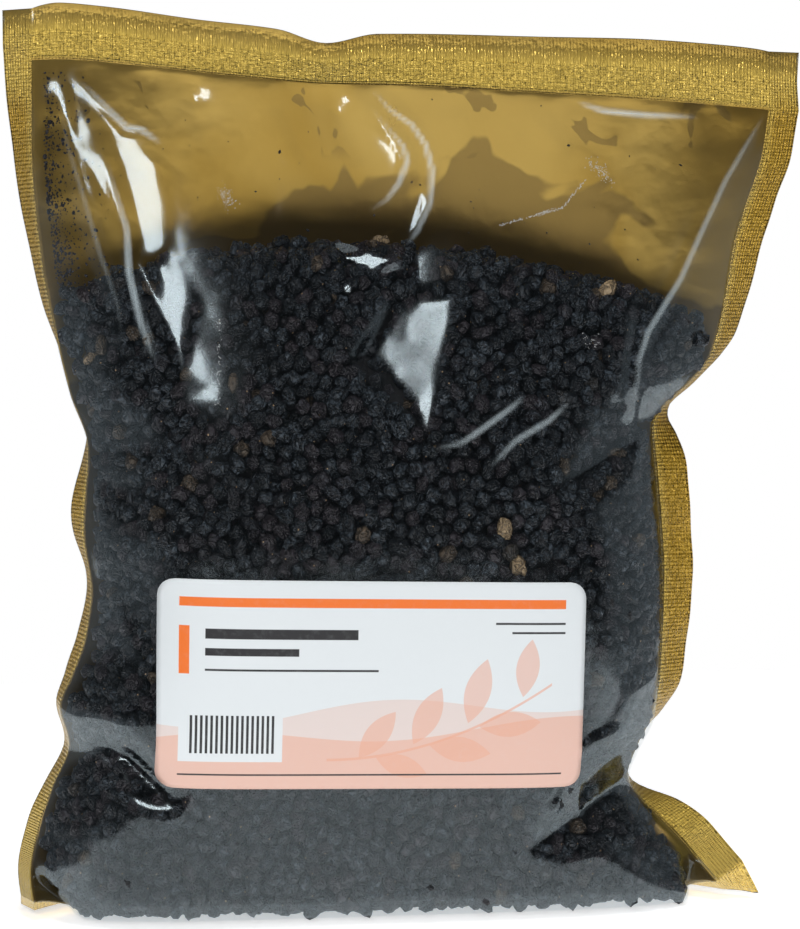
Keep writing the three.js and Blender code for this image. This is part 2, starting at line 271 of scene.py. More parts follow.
@dataclass(frozen=True)
class PouchForm:
    """The pouch's shape: two walls that meet in seams on all four sides, with sealed edges past them."""

    side_height: Curve = Curve((
        (0, 4.5), (0.07, 8), (0.13, 12.5), (0.2, 21), (0.25, 30), (0.35, 52),
        (0.5, 88), (0.62, 116), (0.75, 145), (0.87, 173), (1, 200),
    ))
    side_depth: Curve = Curve((
        (0, -12), (0.07, -8.5), (0.13, -4.5), (0.2, 1), (0.25, 3.5), (0.35, 6),
        (0.5, 7), (0.62, 7), (0.75, 6), (0.87, 5), (1, 4.5),
    ))
    left_seam: Curve = Curve((
        (0, -93), (10, -94.5), (20, -92.5), (30, -89), (40, -85), (49, -87.2), (57, -84), (66, -80.8),
        (78, -79.2), (92, -81), (112, -79.8), (125, -84.2), (140, -88), (155, -90.8), (180, -93),
        (208, -92.8),
    ))
    right_seam: Curve = Curve((
        (0, 78.5), (7, 73), (13, 68.5), (19, 63), (24, 58.5), (29, 56), (36, 58.5), (44, 62.6), (56, 64.5),
        (80, 65.3), (108, 63.3), (118, 62.6), (123, 65.5), (129, 72), (136, 77.5), (150, 81), (166, 83.5),
        (176, 86.5), (188, 90.2), (200, 92),
    ))
    left_fold: Curve = Curve((
        (0, 68), (10, 68), (22, 70), (33, 80), (48, 84), (62, 76), (82, 84), (98, 68), (112, 84),
        (120, 96), (136, 92), (148, 80), (160, 74), (172, 66), (186, 58), (200, 44), (212, 36),
    ))
    right_fold: Curve = Curve((
        (0, 4), (12, 8), (20, 30), (27, 76), (38, 78), (44, 60), (52, 34), (66, 20), (90, 6), (106, 4),
        (116, 30), (124, 66), (132, 64), (142, 42), (154, 30), (172, 18), (212, 14),
    ))
    seal_line: Curve = Curve((
        (-100, 207.5), (-86, 208.4), (-64, 206.8), (-45, 205), (-20, 203.2), (0, 203), (25, 202),
        (50, 200.8), (75, 199.4), (100, 197.5),
    ))
    top_edge: Curve = Curve((
        (-101, 214.5), (-97, 218.5), (-86, 221.9), (-76, 221.3), (-52, 218.4), (-33, 216.3), (-21, 213),
        (-8, 215.5), (10, 215.8), (36, 215.5), (55, 215.3), (75, 214.4), (88, 213.4), (101, 210.6),
    ))
    seam_top: float = 200
    side_seal: float = 8.8
    base_seal: float = 8.4
    top_seal: float = 8.2
    foot: float = 0.75
    ear_rake: float = 35
    depth_shift: float = 2.1
    half_width: float = 86
    whitened_highlight_reach: float = 1.5
    pucker_height: Point = (0.42, 0.38)
    pucker_reach: float = 7
    found_across: float = 0.97
    found_station: Point = (0.14, 0.985)
    folds: tuple[Fold, ...] = (
        Fold((-88, 49), (-58, 30), 9, 7),
        Fold((-82, 112), (-66, 100), 6, 7),
        Fold((62, 119), (30, 104), 7, 8),
        Fold((58, 34), (24, 17), 10, 9),
        Fold((92, 196), (56, 120), -3.2, 9),
        Fold((-88, 200), (-54, 128), -2.6, 10),
        Fold((-55, 203), (-50, 184), 3, 8),
        Fold((-20, 201), (-14, 182), 3.4, 8),
        Fold((-10, 200), (4, 168), -3, 7),
        Fold((-2, 160), (4, 118), 3, 17),
    )
    # whitened_highlight gives the creases a white that is partly real crease white and partly painted
    # highlight.
    creases: tuple[Crease, ...] = (
        Crease(((-75.8, 184.7), (-70.6, 166.4), (-70.2, 156.1), (-67.5, 143.9), (-64, 134)),
               -0.7, 2.2, whitened_highlight=0.55),
        Crease(((-82.3, 203.9), (-70.2, 191.4), (-66.8, 190.9), (-61.6, 187.2)), -0.9, 3.0, whitened_highlight=0.6),
        Crease(((-87.1, 204), (-84.4, 187), (-80.9, 175), (-77, 161), (-73, 149), (-71.6, 137)),
               -0.9, 3.6, whitened_highlight=0.25),
        Crease(((-11.6, 199), (-6.5, 191.5), (-3.1, 187.2), (-2.3, 183.4), (-4.6, 178), (-7.7, 174),
                (-13.3, 170.5)), -0.8, 2.4, 0.8, whitened_highlight=0.5),
        Crease(((-9.6, 202), (-5.7, 196.6), (-0.3, 192.8), (2.7, 187.7), (3.8, 181.5), (2.7, 173),
                (-0.6, 166.2), (-3, 163)), -1.0, 2.7, 0.5, whitened_highlight=0.5),
        Crease(((0, 113.7), (8, 115.5), (13.4, 119), (20.9, 124.2), (24, 127)), -0.5, 1.9, whitened_highlight=0.4),
        Crease(((14, 109), (21.1, 115.9), (29.6, 120.6), (35.3, 125.3)), -0.5, 1.9, whitened_highlight=0.4),
        Crease(((91, 197), (79.5, 180), (66, 155), (56.4, 142), (53.4, 134.8), (52.5, 117.6)),
               -1.5, 2.4, 0.4, whitened_highlight=0.4),
        Crease(((50.5, 151), (49, 138), (47.3, 124)), -1.1, 4.0),
        Crease(((42, 199.6), (49, 197.2), (60.6, 196.3), (74, 196)), 0.7, 2.2, whitened_highlight=0.6),
        Crease(((-36, 197), (-30, 182), (-33, 168)), -0.8, 4),
        Crease(((30, 198), (36, 186), (33, 174)), -0.6, 5),
        Crease(((-79.6, 99.3), (-76.4, 105.5), (-70.1, 99.1)), 1.0, 3.5),
        Crease(((-83, 112), (-78, 102), (-76, 91)), -0.9, 2.6),
        Crease(((-78, 83), (-74, 76), (-68.5, 65.6), (-65.7, 55)), -0.6, 3.5),
        Crease(((36.5, 34), (37.5, 26.1), (39.3, 20)), -1.0, 2.2),
        Crease(((36, 40), (41, 43), (48, 45)), -1.0, 2.4),
        Crease(((68, 60), (52, 54), (44, 40)), -0.9, 5),
        Crease(((62, 116), (55, 108), (54, 92)), 0.9, 3.0),
    )
    facets: tuple[Facet, ...] = (
        Facet(((-1, 114), (6, 126), (12, 143), (14, 157), (-9, 152), (-20, 136)), -13.6, 17.0, 6.0, -0.0014),
        Facet(((-58, 150), (-59.5, 184), (-67, 193), (-77, 191), (-70, 160)), -12.6, 15.2, 5.0),
        Facet(((-57.5, 124), (-52.5, 150), (-60, 164), (-68, 160), (-64, 140)), -13.2, 17.2, 6.0),
        Facet(((-22.5, 163.5), (-20, 157), (-11, 155), (-3, 158), (-6, 162)), -16.3, 16, 1.8),
        Facet(((-20.5, 150.5), (-15.3, 150.8), (-15.3, 154.2), (-20.8, 154)), -16.5, 16.5, 0.9),
        Facet(((26.5, 25), (32.6, 26.5), (33.2, 35)), -19, 23.6, 1.4),
        Facet(((-79, 42), (-74, 34), (-66, 29), (-58, 29), (-63, 36), (-71, 43)), -8, 33, 2.5),
    )

    def bulge(self, wall: Wall, share: Array, station: Array) -> Array:
        """How much of the middle's bulge is left at a share of the way to a side seam.

        Args:
            wall: The side.
            share: From 0 in the middle to 1 at a seam.
            station: Places up, from 0 to 1.

        Returns:
            From 1 in the middle to 0 at a seam.
        """
        size = np.clip(np.abs(share), 0, 1)
        flatness = 6 - 2.6 * smooth(0.42, 0.8, station)
        own = (1 - size**flatness) ** 0.72 if wall is FRONT else 1 - size**2.4
        shared = 1 - size**3
        return shared + (own - shared) * smooth(0, 0.16, station)

    def bare_wall(self, wall: Wall, across: Array, station: Array) -> Array:
        """Places on a wall before its folds.

        Args:
            wall: The side.
            across: Places across, from -1 to 1.
            station: Places up, from 0 to 1.

        Returns:
            One row of x, y and z for each place.
        """
        flat = 1 - smooth(0.86, 1, np.abs(across))
        seam = self.side_height(station)
        z = seam + (wall.height(station) - seam) * flat
        left, right = self.left_seam(z), self.right_seam(z)
        x = left + (right - left) * (across + 1) / 2
        z = z * (1 + (self.seal_line(x) / self.seam_top - 1) * smooth(0.45, 1, station))
        seam_depth = self.side_depth(station)
        y = seam_depth + (wall.depth(station) - seam_depth) * self.bulge(wall, across, station)
        return np.stack([x, y, z], axis=-1)

    def wall(self, wall: Wall, across: Array, station: Array, fine: bool = True) -> Array:
        """Places midway through a pouch wall.

        Args:
            wall: The side.
            across: Places across, from -1 to 1.
            station: Places up, from 0 to 1.
            fine: Whether the creases, facets and puckers are there, and not only the large folds.

        Returns:
            One row of x, y and z for each place.
        """
        points = self.bare_wall(wall, across, station)
        x, z = points[..., 0], points[..., 2]
        keep = (1 - smooth(0.74, 1, np.abs(across))) * (1 - smooth(0.96, 1, station))
        if wall is FRONT:
            folds = sum(fold.depth_at(x, z) for fold in self.folds)
            points[..., 1] += folds * smooth(3, 12, z) * keep
        if fine:
            if wall is FRONT:
                self.crease(points, across, station)
            points[..., 1] += wall.side * self.puckers(wall, across, station, points)
        return points

    def crease(self, points: Array, across: Array, station: Array) -> None:
        """Works the facets and creases into places of the front wall.

        Args:
            points: Places on the wall, changed in place.
            across: Places across, from -1 to 1.
            station: Places up, from 0 to 1.
        """
        x, z = points[..., 0].copy(), points[..., 2].copy()
        keep = (1 - smooth(0.9, 1, np.abs(across))) * (1 - smooth(0.985, 1, station)) * smooth(3, 9, z)
        for facet, depth in zip(self.facets, self.facet_depths):
            weight = facet.weight(x, z) * keep
            points[..., 1] += (facet.flat(x, z, depth) - points[..., 1]) * weight
        for crease in self.creases:
            points[..., 1] += crease.depth * crease.profile(x, z, crease.width) * keep

    def whitened_highlight(self, x: Array, z: Array) -> Array:
        """How white the sharp creases have made the front film, partly the white of the crease and partly a
        painted highlight along it.

        Args:
            x: Places across, in millimetres.
            z: Their heights.

        Returns:
            From 0 to 1.
        """
        reach = self.whitened_highlight_reach
        marks = [crease.whitened_highlight * crease.profile(x, z, reach) for crease in self.creases if crease.whitened_highlight]
        return np.max(marks, axis=0)

    @cached_property
    def facet_depths(self) -> list[float]:
        """The depth of the front wall under each facet.

        Returns:
            The depth under the centre of each.
        """
        depths = []
        for facet in self.facets:
            x, z = (np.array([value]) for value in facet.centre())
            across, station = self.find(x, z)
            depths.append(float(self.wall(FRONT, across, station, fine=False)[0, 1]))
        return depths

    def puckers(self, wall: Wall, across: Array, station: Array, points: Array) -> Array:
        """Small gathers that run in from the seams.

        Args:
            wall: The side.
            across: Places across, from -1 to 1.
            station: Places up, from 0 to 1.
            points: The places that these stand for.

        Returns:
            How far each place stands out.
        """
        side = self.half_width * (1 - np.abs(across))
        top = self.seam_top * (1 - station)
        x, z = points[..., 0], points[..., 2]
        shift = 0.0 if wall is FRONT else 2.3
        gather = np.sin(x / 4.1 + shift + 1.9 * np.sin(x / 13)) + 0.6 * np.sin(x / 1.9 + 2 * shift)
        ruck = np.sin(z / 3.3 + shift + 2.1 * np.sin(z / 17)) + 0.6 * np.sin(z / 1.7 + shift)
        from_top = self.pucker_height[1] * gather * np.exp(-top / self.pucker_reach) * top / (top + 2)
        from_side = self.pucker_height[0] * ruck * np.exp(-side / self.pucker_reach) * side / (side + 3)
        return from_top + from_side * smooth(3, 14, z)

    def film(
        self, wall: Wall, across: Array, over: Array, station: Array, up: Array
    ) -> Array:
        """Places on a film, the sealed edges included.

        Args:
            wall: The side.
            across: Places across, from -1 to 1.
            over: Millimetres out into a side seal, below 0 on the left.
            station: Places up, from 0 to 1.
            up: Millimetres up into the top seal, or below 0 into the bottom seal.

        Returns:
            One row of x, y and z for each place.
        """
        points = self.wall(wall, across, station)
        x, y, z = points[..., 0], points[..., 1], points[..., 2]
        share = up / (self.top_seal + 1)
        edge = self.top_edge(x)
        lift = np.where(share <= 1, up * (edge - z) / 15, edge - z)
        z += np.where(up > 0, lift, 0)
        y += np.where(up > 0, 0.9 * np.sin(x / 13) * np.minimum(1, share), 0)
        reach = np.abs(over)
        fold = np.radians(np.where(over < 0, self.left_fold(z), self.right_fold(z)))
        rake = np.radians(np.where(over < 0, 0, self.ear_rake * (1 - smooth(12, 30, z))))
        wave = 0.055 * reach * (np.sin(z / 4.6 + 0.8) + 0.7 * np.sin(z / 2.3)) * smooth(8, 20, z)
        x += over * np.cos(fold) * np.cos(rake)
        y += reach * np.sin(fold) + wave * np.cos(fold)
        z += reach * np.cos(fold) * np.sin(rake)
        drop = np.clip((z - self.foot) / self.base_seal, 0, 1)
        down = np.minimum(up, 0)
        lean = np.where(across > 0, smooth(0.86, 1, np.abs(across)), 0)
        x -= 0.5 * down * lean
        y -= down * np.sqrt(1 - drop * drop)
        z += down * drop
        y += self.depth_shift
        return points

    def outward(self, wall: Wall, across: Array, station: Array, fine: bool = True) -> Array:
        """Unit directions out of a wall.

        Args:
            wall: The side.
            across: Places across, from -1 to 1.
            station: Places up, from 0 to 1.
            fine: As in wall().

        Returns:
            One direction for each place.
        """
        step = 0.004
        low, high = np.maximum(across - step, -1), np.minimum(across + step, 1)
        along = self.wall(wall, high, station, fine) - self.wall(wall, low, station, fine)
        under, over = np.maximum(station - step, 0), np.minimum(station + step, 1)
        rising = self.wall(wall, across, over, fine) - self.wall(wall, across, under, fine)
        out = np.cross(along, rising) * -wall.side
        return out / np.maximum(np.linalg.norm(out, axis=-1, keepdims=True), TINY)

    def find(self, x: Array, z: Array, rounds: int = 12) -> tuple[Array, Array]:
        """Finds the across and station of places on the front wall.

        Args:
            x: Places across, in millimetres.
            z: Their heights.
            rounds: How many times a guess is bettered.

        Returns:
            The across and the station of each place.
        """
        across, station = x / 85, np.clip(z / 205, 0.2, 0.95)
        step = 1e-3
        for _ in range(rounds):
            here = self.bare_wall(FRONT, across, station)
            ex, ez = x - here[..., 0], z - here[..., 2]
            da = (self.bare_wall(FRONT, across + step, station) - here) / step
            ds = (self.bare_wall(FRONT, across, station + step) - here) / step
            size = da[..., 0] * ds[..., 2] - ds[..., 0] * da[..., 2]
            across = across + (ex * ds[..., 2] - ez * ds[..., 0]) / size
            across = np.clip(across, -self.found_across, self.found_across)
            station = np.clip(station + (ez * da[..., 0] - ex * da[..., 2]) / size, *self.found_station)
        return across, station


class Value:
    """A shader number that Python's operators work on."""

    def __init__(self, graph: "Graph", socket: Socket) -> None:
        """Wraps a socket.

        Args:
            graph: The material's nodes.
            socket: The output that holds the number.
        """
        self.graph = graph
        self.socket = socket

    def math(self, operation: str, *others: "Value | float") -> "Value":
        """Adds a Math node.

        Args:
            operation: The node's operation.
            others: Its second and third values.

        Returns:
            The result.
        """
        sockets = dict(enumerate((self, *others)))
        node = self.graph.node("ShaderNodeMath", {"operation": operation}, sockets)
        return Value(self.graph, node.outputs[0])

    def __add__(self, other: "Value | float") -> "Value":
        """The sum."""
        return self.math("ADD", other)

    __radd__ = __add__

    def __sub__(self, other: "Value | float") -> "Value":
        """The difference."""
        return self.math("SUBTRACT", other)

    def __rsub__(self, other: float) -> "Value":
        """The difference, the other way round."""
        return self.math("MULTIPLY_ADD", -1.0, other)

    def __mul__(self, other: "Value | float") -> "Value":
        """The product."""
        return self.math("MULTIPLY", other)

    __rmul__ = __mul__

    def __truediv__(self, other: "Value | float") -> "Value":
        """The quotient."""
        return self.math("DIVIDE", other)

    def above(self, limit: float) -> "Value":
        """1 where the number is above the limit."""
        return self.math("GREATER_THAN", limit)

    def size(self) -> "Value":
        """The number without its sign."""
        return self.math("ABSOLUTE")

    def sine(self) -> "Value":
        """The sine."""
        return self.math("SINE")

    def part(self) -> "Value":
        """What is left above the whole number."""
        return self.math("FRACT")

    def least(self, other: "Value | float") -> "Value":
        """The lesser of two."""
        return self.math("MINIMUM", other)

    def most(self, other: "Value | float") -> "Value":
        """The greater of two."""
        return self.math("MAXIMUM", other)

    def step(self, low: float, high: float) -> "Value":
        """A soft step from 0 at low to 1 at high, where high may be below low.

        Args:
            low: Where it starts.
            high: Where it ends.

        Returns:
            The step.
        """
        first, last = (low, high) if low < high else (high, low)
        settings = {"interpolation_type": "SMOOTHSTEP"}
        sockets = {"Value": self, "From Min": first, "From Max": last}
        made = self.graph.node("ShaderNodeMapRange", settings, sockets)
        rising = Value(self.graph, made.outputs["Result"])
        return rising if low < high else 1 - rising


@dataclass
class Graph:
    """The nodes of one material, or of the world."""

    name: str
    owner: Material | bpy.types.World | None = None

    def __post_init__(self) -> None:
        """Empties the nodes, of a new material where there is no owner."""
        self.owner = self.owner or bpy.data.materials.new(self.name)
        self.owner.use_nodes = True
        self.owner.node_tree.nodes.clear()

    def node(
        self, kind: str, settings: dict[str, object], sockets: dict[str | int, object]
    ) -> bpy.types.Node:
        """Adds a node.

        Args:
            kind: Its type.
            settings: Its settings.
            sockets: Values or links for its inputs.

        Returns:
            The node.
        """
        made = self.owner.node_tree.nodes.new(kind)
        for key, value in settings.items():
            setattr(made, key, value)
        for key, value in sockets.items():
            if isinstance(value, Value):
                value = value.socket
            if isinstance(value, Socket):
                self.owner.node_tree.links.new(value, made.inputs[key])
            else:
                made.inputs[key].default_value = value
        return made

    def places(self) -> Socket:
        """Object coordinates, in metres."""
        return self.node("ShaderNodeTexCoord", {}, {}).outputs["Object"]

    def map(self, name: str) -> tuple[Value, Value]:
        """The two coordinates of a UV map.

        Args:
            name: The map's name.

        Returns:
            Its two coordinates.
        """
        uv = self.node("ShaderNodeUVMap", {"uv_map": name}, {})
        split = self.node("ShaderNodeSeparateXYZ", {}, {0: uv.outputs[0]})
        return Value(self, split.outputs[0]), Value(self, split.outputs[1])

    def attribute(self, name: str) -> Value:
        """A number kept on the piece's points."""
        return Value(self, self.node("ShaderNodeAttribute", {"attribute_name": name}, {}).outputs["Fac"])

    def noise(self, at: object, scale: float, detail: float = 2.0, warp: float = 0.0) -> Value:
        """Cloudy noise.

        Args:
            at: Where it is read.
            scale: Its fineness, per metre.
            detail: Its octaves.
            warp: Its distortion.

        Returns:
            A number from 0 to 1.
        """
        sockets = {"Vector": at, "Scale": scale, "Detail": detail, "Distortion": warp}
        return Value(self, self.node("ShaderNodeTexNoise", {}, sockets).outputs["Fac"])

    def blend(self, factor: object, first: object, second: object) -> Socket:
        """Mixes two colours.

        Args:
            factor: The share of the second.
            first: A colour.
            second: Another colour.

        Returns:
            The mixed colour.
        """
        pair = [(*c, 1.0) if isinstance(c, tuple) else c for c in (first, second)]
        made = self.node("ShaderNodeMix", {"data_type": "RGBA"}, {0: factor, 6: pair[0], 7: pair[1]})
        return made.outputs[2]

    def bump(self, height: Value, distance: float, strength: float = 1.0, under: object = None) -> object:
        """Turns a height into a normal.

        Args:
            height: From 0 to 1.
            distance: What 1 stands for, in metres.
            strength: How much of it is shown.
            under: A normal that it is added to.

        Returns:
            The normal.
        """
        sockets = {"Height": height, "Distance": distance, "Strength": strength}
        if under is not None:
            sockets["Normal"] = under
        return self.node("ShaderNodeBump", {}, sockets).outputs[0]

    def principled(self, **sockets: object) -> Socket:
        """A Principled shader; an underscore in a name stands for a space."""
        named = {key.replace("_", " "): value for key, value in sockets.items()}
        return self.node("ShaderNodeBsdfPrincipled", {}, named).outputs[0]

    def finish(self, shader: Socket) -> Material:
        """Ends the material with a shader."""
        self.node("ShaderNodeOutputMaterial", {}, {"Surface": shader})
        return self.owner


@dataclass(frozen=True)
class SealEmboss:
    """The diamond pattern that the sealing jaws press into the gold film."""

    pitch: float = 1.15
    slant: float = 1.4

    def height(self, graph: Graph, seal: Value) -> Value:
        """The height of the pattern.

        Args:
            graph: The material's nodes.
            seal: How much seal there is.

        Returns:
            From 0 to 1.
        """
        u, v = graph.map("film")
        turn = MAP_UNIT * 2 * math.pi / self.pitch / self.slant
        return (((u + v) * turn).sine() * ((u - v) * turn).sine() * 0.5 + 0.5) * seal


@dataclass(frozen=True)
class ClearFilmFinish:
    """Clear glossy film: mostly see-through, and mirror-like at a slant; along some creases a diffuse bluish
    white, partly crease white and partly painted highlight.
    """

    tint: Colour = (0.975, 0.98, 0.985)
    roughness: float = 0.13
    index: float = 1.5
    gain: float = 0.74
    most: float = 0.085
    whitening_highlight: float = 0.75
    shine: Colour = (0.82, 0.95, 1.0)

    def make(self) -> Material:
        """Makes the material.

        Returns:
            The material.
        """
        graph = Graph("clear_film")
        seal = graph.attribute("seal")
        normal = graph.bump(graph.noise(graph.places(), 95.0, 1.5, 0.3), 0.0004, 0.45)
        mirror = graph.node("ShaderNodeFresnel", {}, {"IOR": self.index, "Normal": normal})
        laid = graph.attribute("turned").most(seal * 0.7)
        whitened_highlight = graph.attribute("whitened_highlight")
        share = (Value(graph, mirror.outputs[0]) * self.gain).least(self.most) * (1 - laid * 0.9)
        # Painted highlight, partly crease white: along the marked creases the film turns a diffuse bluish
        # white under any lamp.
        share = share + whitened_highlight * whitened_highlight * self.whitening_highlight
        shine = graph.principled(
            Base_Color=(*self.shine, 1.0), Metallic=1 - whitened_highlight.step(0.05, 0.3),
            Roughness=seal * 0.22 + self.roughness, Normal=normal,
        )
        clear = graph.node("ShaderNodeBsdfTransparent", {}, {"Color": (*self.tint, 1.0)}).outputs[0]
        mixed = graph.node("ShaderNodeMixShader", {}, {0: share, 1: clear, 2: shine})
        return graph.finish(mixed.outputs[0])


@dataclass(frozen=True)
class ScuffFinish:
    """White scratched plastic."""

    pale: Colour = (0.85, 0.86, 0.86)
    dull: Colour = (0.45, 0.45, 0.43)

    def make(self) -> Material:
        """Makes the material.

        Returns:
            The material.
        """
        graph = Graph("scuffed_film")
        colour = graph.blend(graph.noise(graph.places(), 1500.0), self.dull, self.pale)
        return graph.finish(graph.principled(Base_Color=colour, Roughness=0.5))


@dataclass(frozen=True)
class GoldFilmFinish:
    """Gold metallised film, crinkled, with embossed seals. Its inner face has a painted dark reflection of
    the heap.
    """

    inner: bool = False
    light: Colour = (0.56, 0.365, 0.088)
    deep: Colour = (0.46, 0.28, 0.05)
    turned: Colour = (0.62, 0.37, 0.04)
    sealed: Colour = (1.0, 0.68, 0.13)
    # dim is the colour of the painted dark reflection on the inner face.
    dim: Colour = (0.28, 0.18, 0.05)

    def painted_reflection(self, graph: Graph) -> Value:
        """Where the inner face is painted with a dark reflection of the heap, and of its own pleats near the
        top seal.

        Args:
            graph: The material's nodes.

        Returns:
            From 0 to 1.
        """
        at = graph.places()
        split = graph.node("ShaderNodeSeparateXYZ", {}, {0: at})
        side, height = Value(graph, split.outputs[0]) * 20 - 0.14, Value(graph, split.outputs[2])
        drift = graph.noise(at, 34.0, 3.5, 0.3)
        # Painted reflection of the heap: dark below a wavy line near the heap's top.
        heap = (height + (drift - 0.5) * 0.065 + side * side * 0.014).step(0.1815, 0.1790)
        # Painted reflection of the pleats: dark noise patches just under the top seal.
        pleats = graph.noise(at, 62.0, 2.5, 1.3).step(0.62, 0.64) * height.step(0.184, 0.190)
        return (heap * (0.7 + drift * 0.5) + pleats * 0.8).least(1.0)

    def make(self) -> Material:
        """Makes the material.

        Returns:
            The material.
        """
        graph = Graph("gold_film_inner" if self.inner else "gold_film")
        at = graph.places()
        seal = graph.attribute("seal")
        clouds = graph.noise(at, 26.0, 3.0, 0.6)
        colour = graph.blend(clouds.step(0.35, 0.7), self.light, self.deep)
        if self.inner:
            # Painted reflection: the inner face is darkened towards dim where it would mirror the heap or the
            # pleats.
            colour = graph.blend(self.painted_reflection(graph) * (1 - seal), colour, self.dim)
        colour = graph.blend(seal, colour, self.sealed)
        colour = graph.blend(graph.attribute("turned"), colour, self.turned)
        normal = graph.bump(clouds, 0.002, 0.35)
        normal = graph.bump(graph.noise(at, 210.0, 2.0), 0.0003, 0.4, normal)
        normal = graph.bump(SealEmboss().height(graph, seal), 0.0006, 1.0, normal)
        normal = graph.bump(graph.noise(at, 800.0, 1.0) * seal, 0.0007, 1.0, normal)
        roughness = 0.24 + clouds * 0.12 - seal * 0.08
        metal = 0.88 - seal * 0.5
        return graph.finish(
            graph.principled(Base_Color=colour, Metallic=metal, Roughness=roughness, Normal=normal)
        )


@dataclass(frozen=True)
class BerryFinish:
    """Wrinkled near-black skins with a grey bloom and painted shade in the bottoms of the wrinkles; a few
    berries are brown or tan, and some show a scar.
    """

    dark: Colour = (0.0058, 0.0072, 0.0092)
    bloom: Colour = (0.060, 0.076, 0.092)
    purple: Colour = (0.027, 0.0205, 0.024)
    brown: Colour = (0.078, 0.056, 0.036)
    tan: Colour = (0.40, 0.29, 0.17)

    def make(self) -> Material:
        """Makes the material.

        Returns:
            The material.
        """
        graph = Graph("dried_berry")
        at = graph.places()
        tone = graph.attribute("tone")
        folds = (graph.noise(at, 420.0, 2.0, 0.9) * 2 - 1).size()
        fuzz = graph.noise(at, 1100.0, 2.0, 0.6)
        hue = (tone * 7.3).part()
        skin = graph.blend(fuzz.step(0.38, 0.7) * (0.2 + tone.step(0.0, 0.9) * 0.8), self.dark, self.bloom)
        skin = graph.blend(hue.step(0.6, 0.85) * 0.75, skin, self.purple)
        skin = graph.blend(tone.step(0.970, 0.975) * (0.35 + fuzz), skin, self.brown)
        skin = graph.blend(tone.step(0.9965, 0.997) * (0.45 + fuzz), skin, self.tan)
        # Painted shade: the bottoms of the noise wrinkles are darkened to near black.
        skin = graph.blend(folds.step(0.07, 0.0) * 0.8, skin, (0.003, 0.003, 0.004))
        scar = graph.attribute("scar").step(0.78, 0.87) * tone.step(0.46, 0.42)
        skin = graph.blend(scar, skin, (0.40, 0.27, 0.15))
        normal = graph.bump(folds.step(0.0, 0.25) * 0.75 + fuzz * 0.25, 0.0012, 1.0)
        roughness = 0.36 + fuzz * 0.2
        return graph.finish(graph.principled(Base_Color=skin, Roughness=roughness, Normal=normal))


@dataclass(frozen=True)
class CoreShadeFinish:
    """Painted shade: the near-black of the heap's depths, seen between the berries."""

    def make(self) -> Material:
        """Makes the material.

        Returns:
            The material.
        """
        graph = Graph("heap_shadow")
        grain = graph.noise(graph.places(), 260.0)
        colour = graph.blend(grain.step(0.3, 0.6), (0.012, 0.011, 0.012), (0.003, 0.003, 0.0035))
        normal = graph.bump(grain, 0.002, 1.0)
        return graph.finish(graph.principled(Base_Color=colour, Roughness=0.8, Normal=normal))


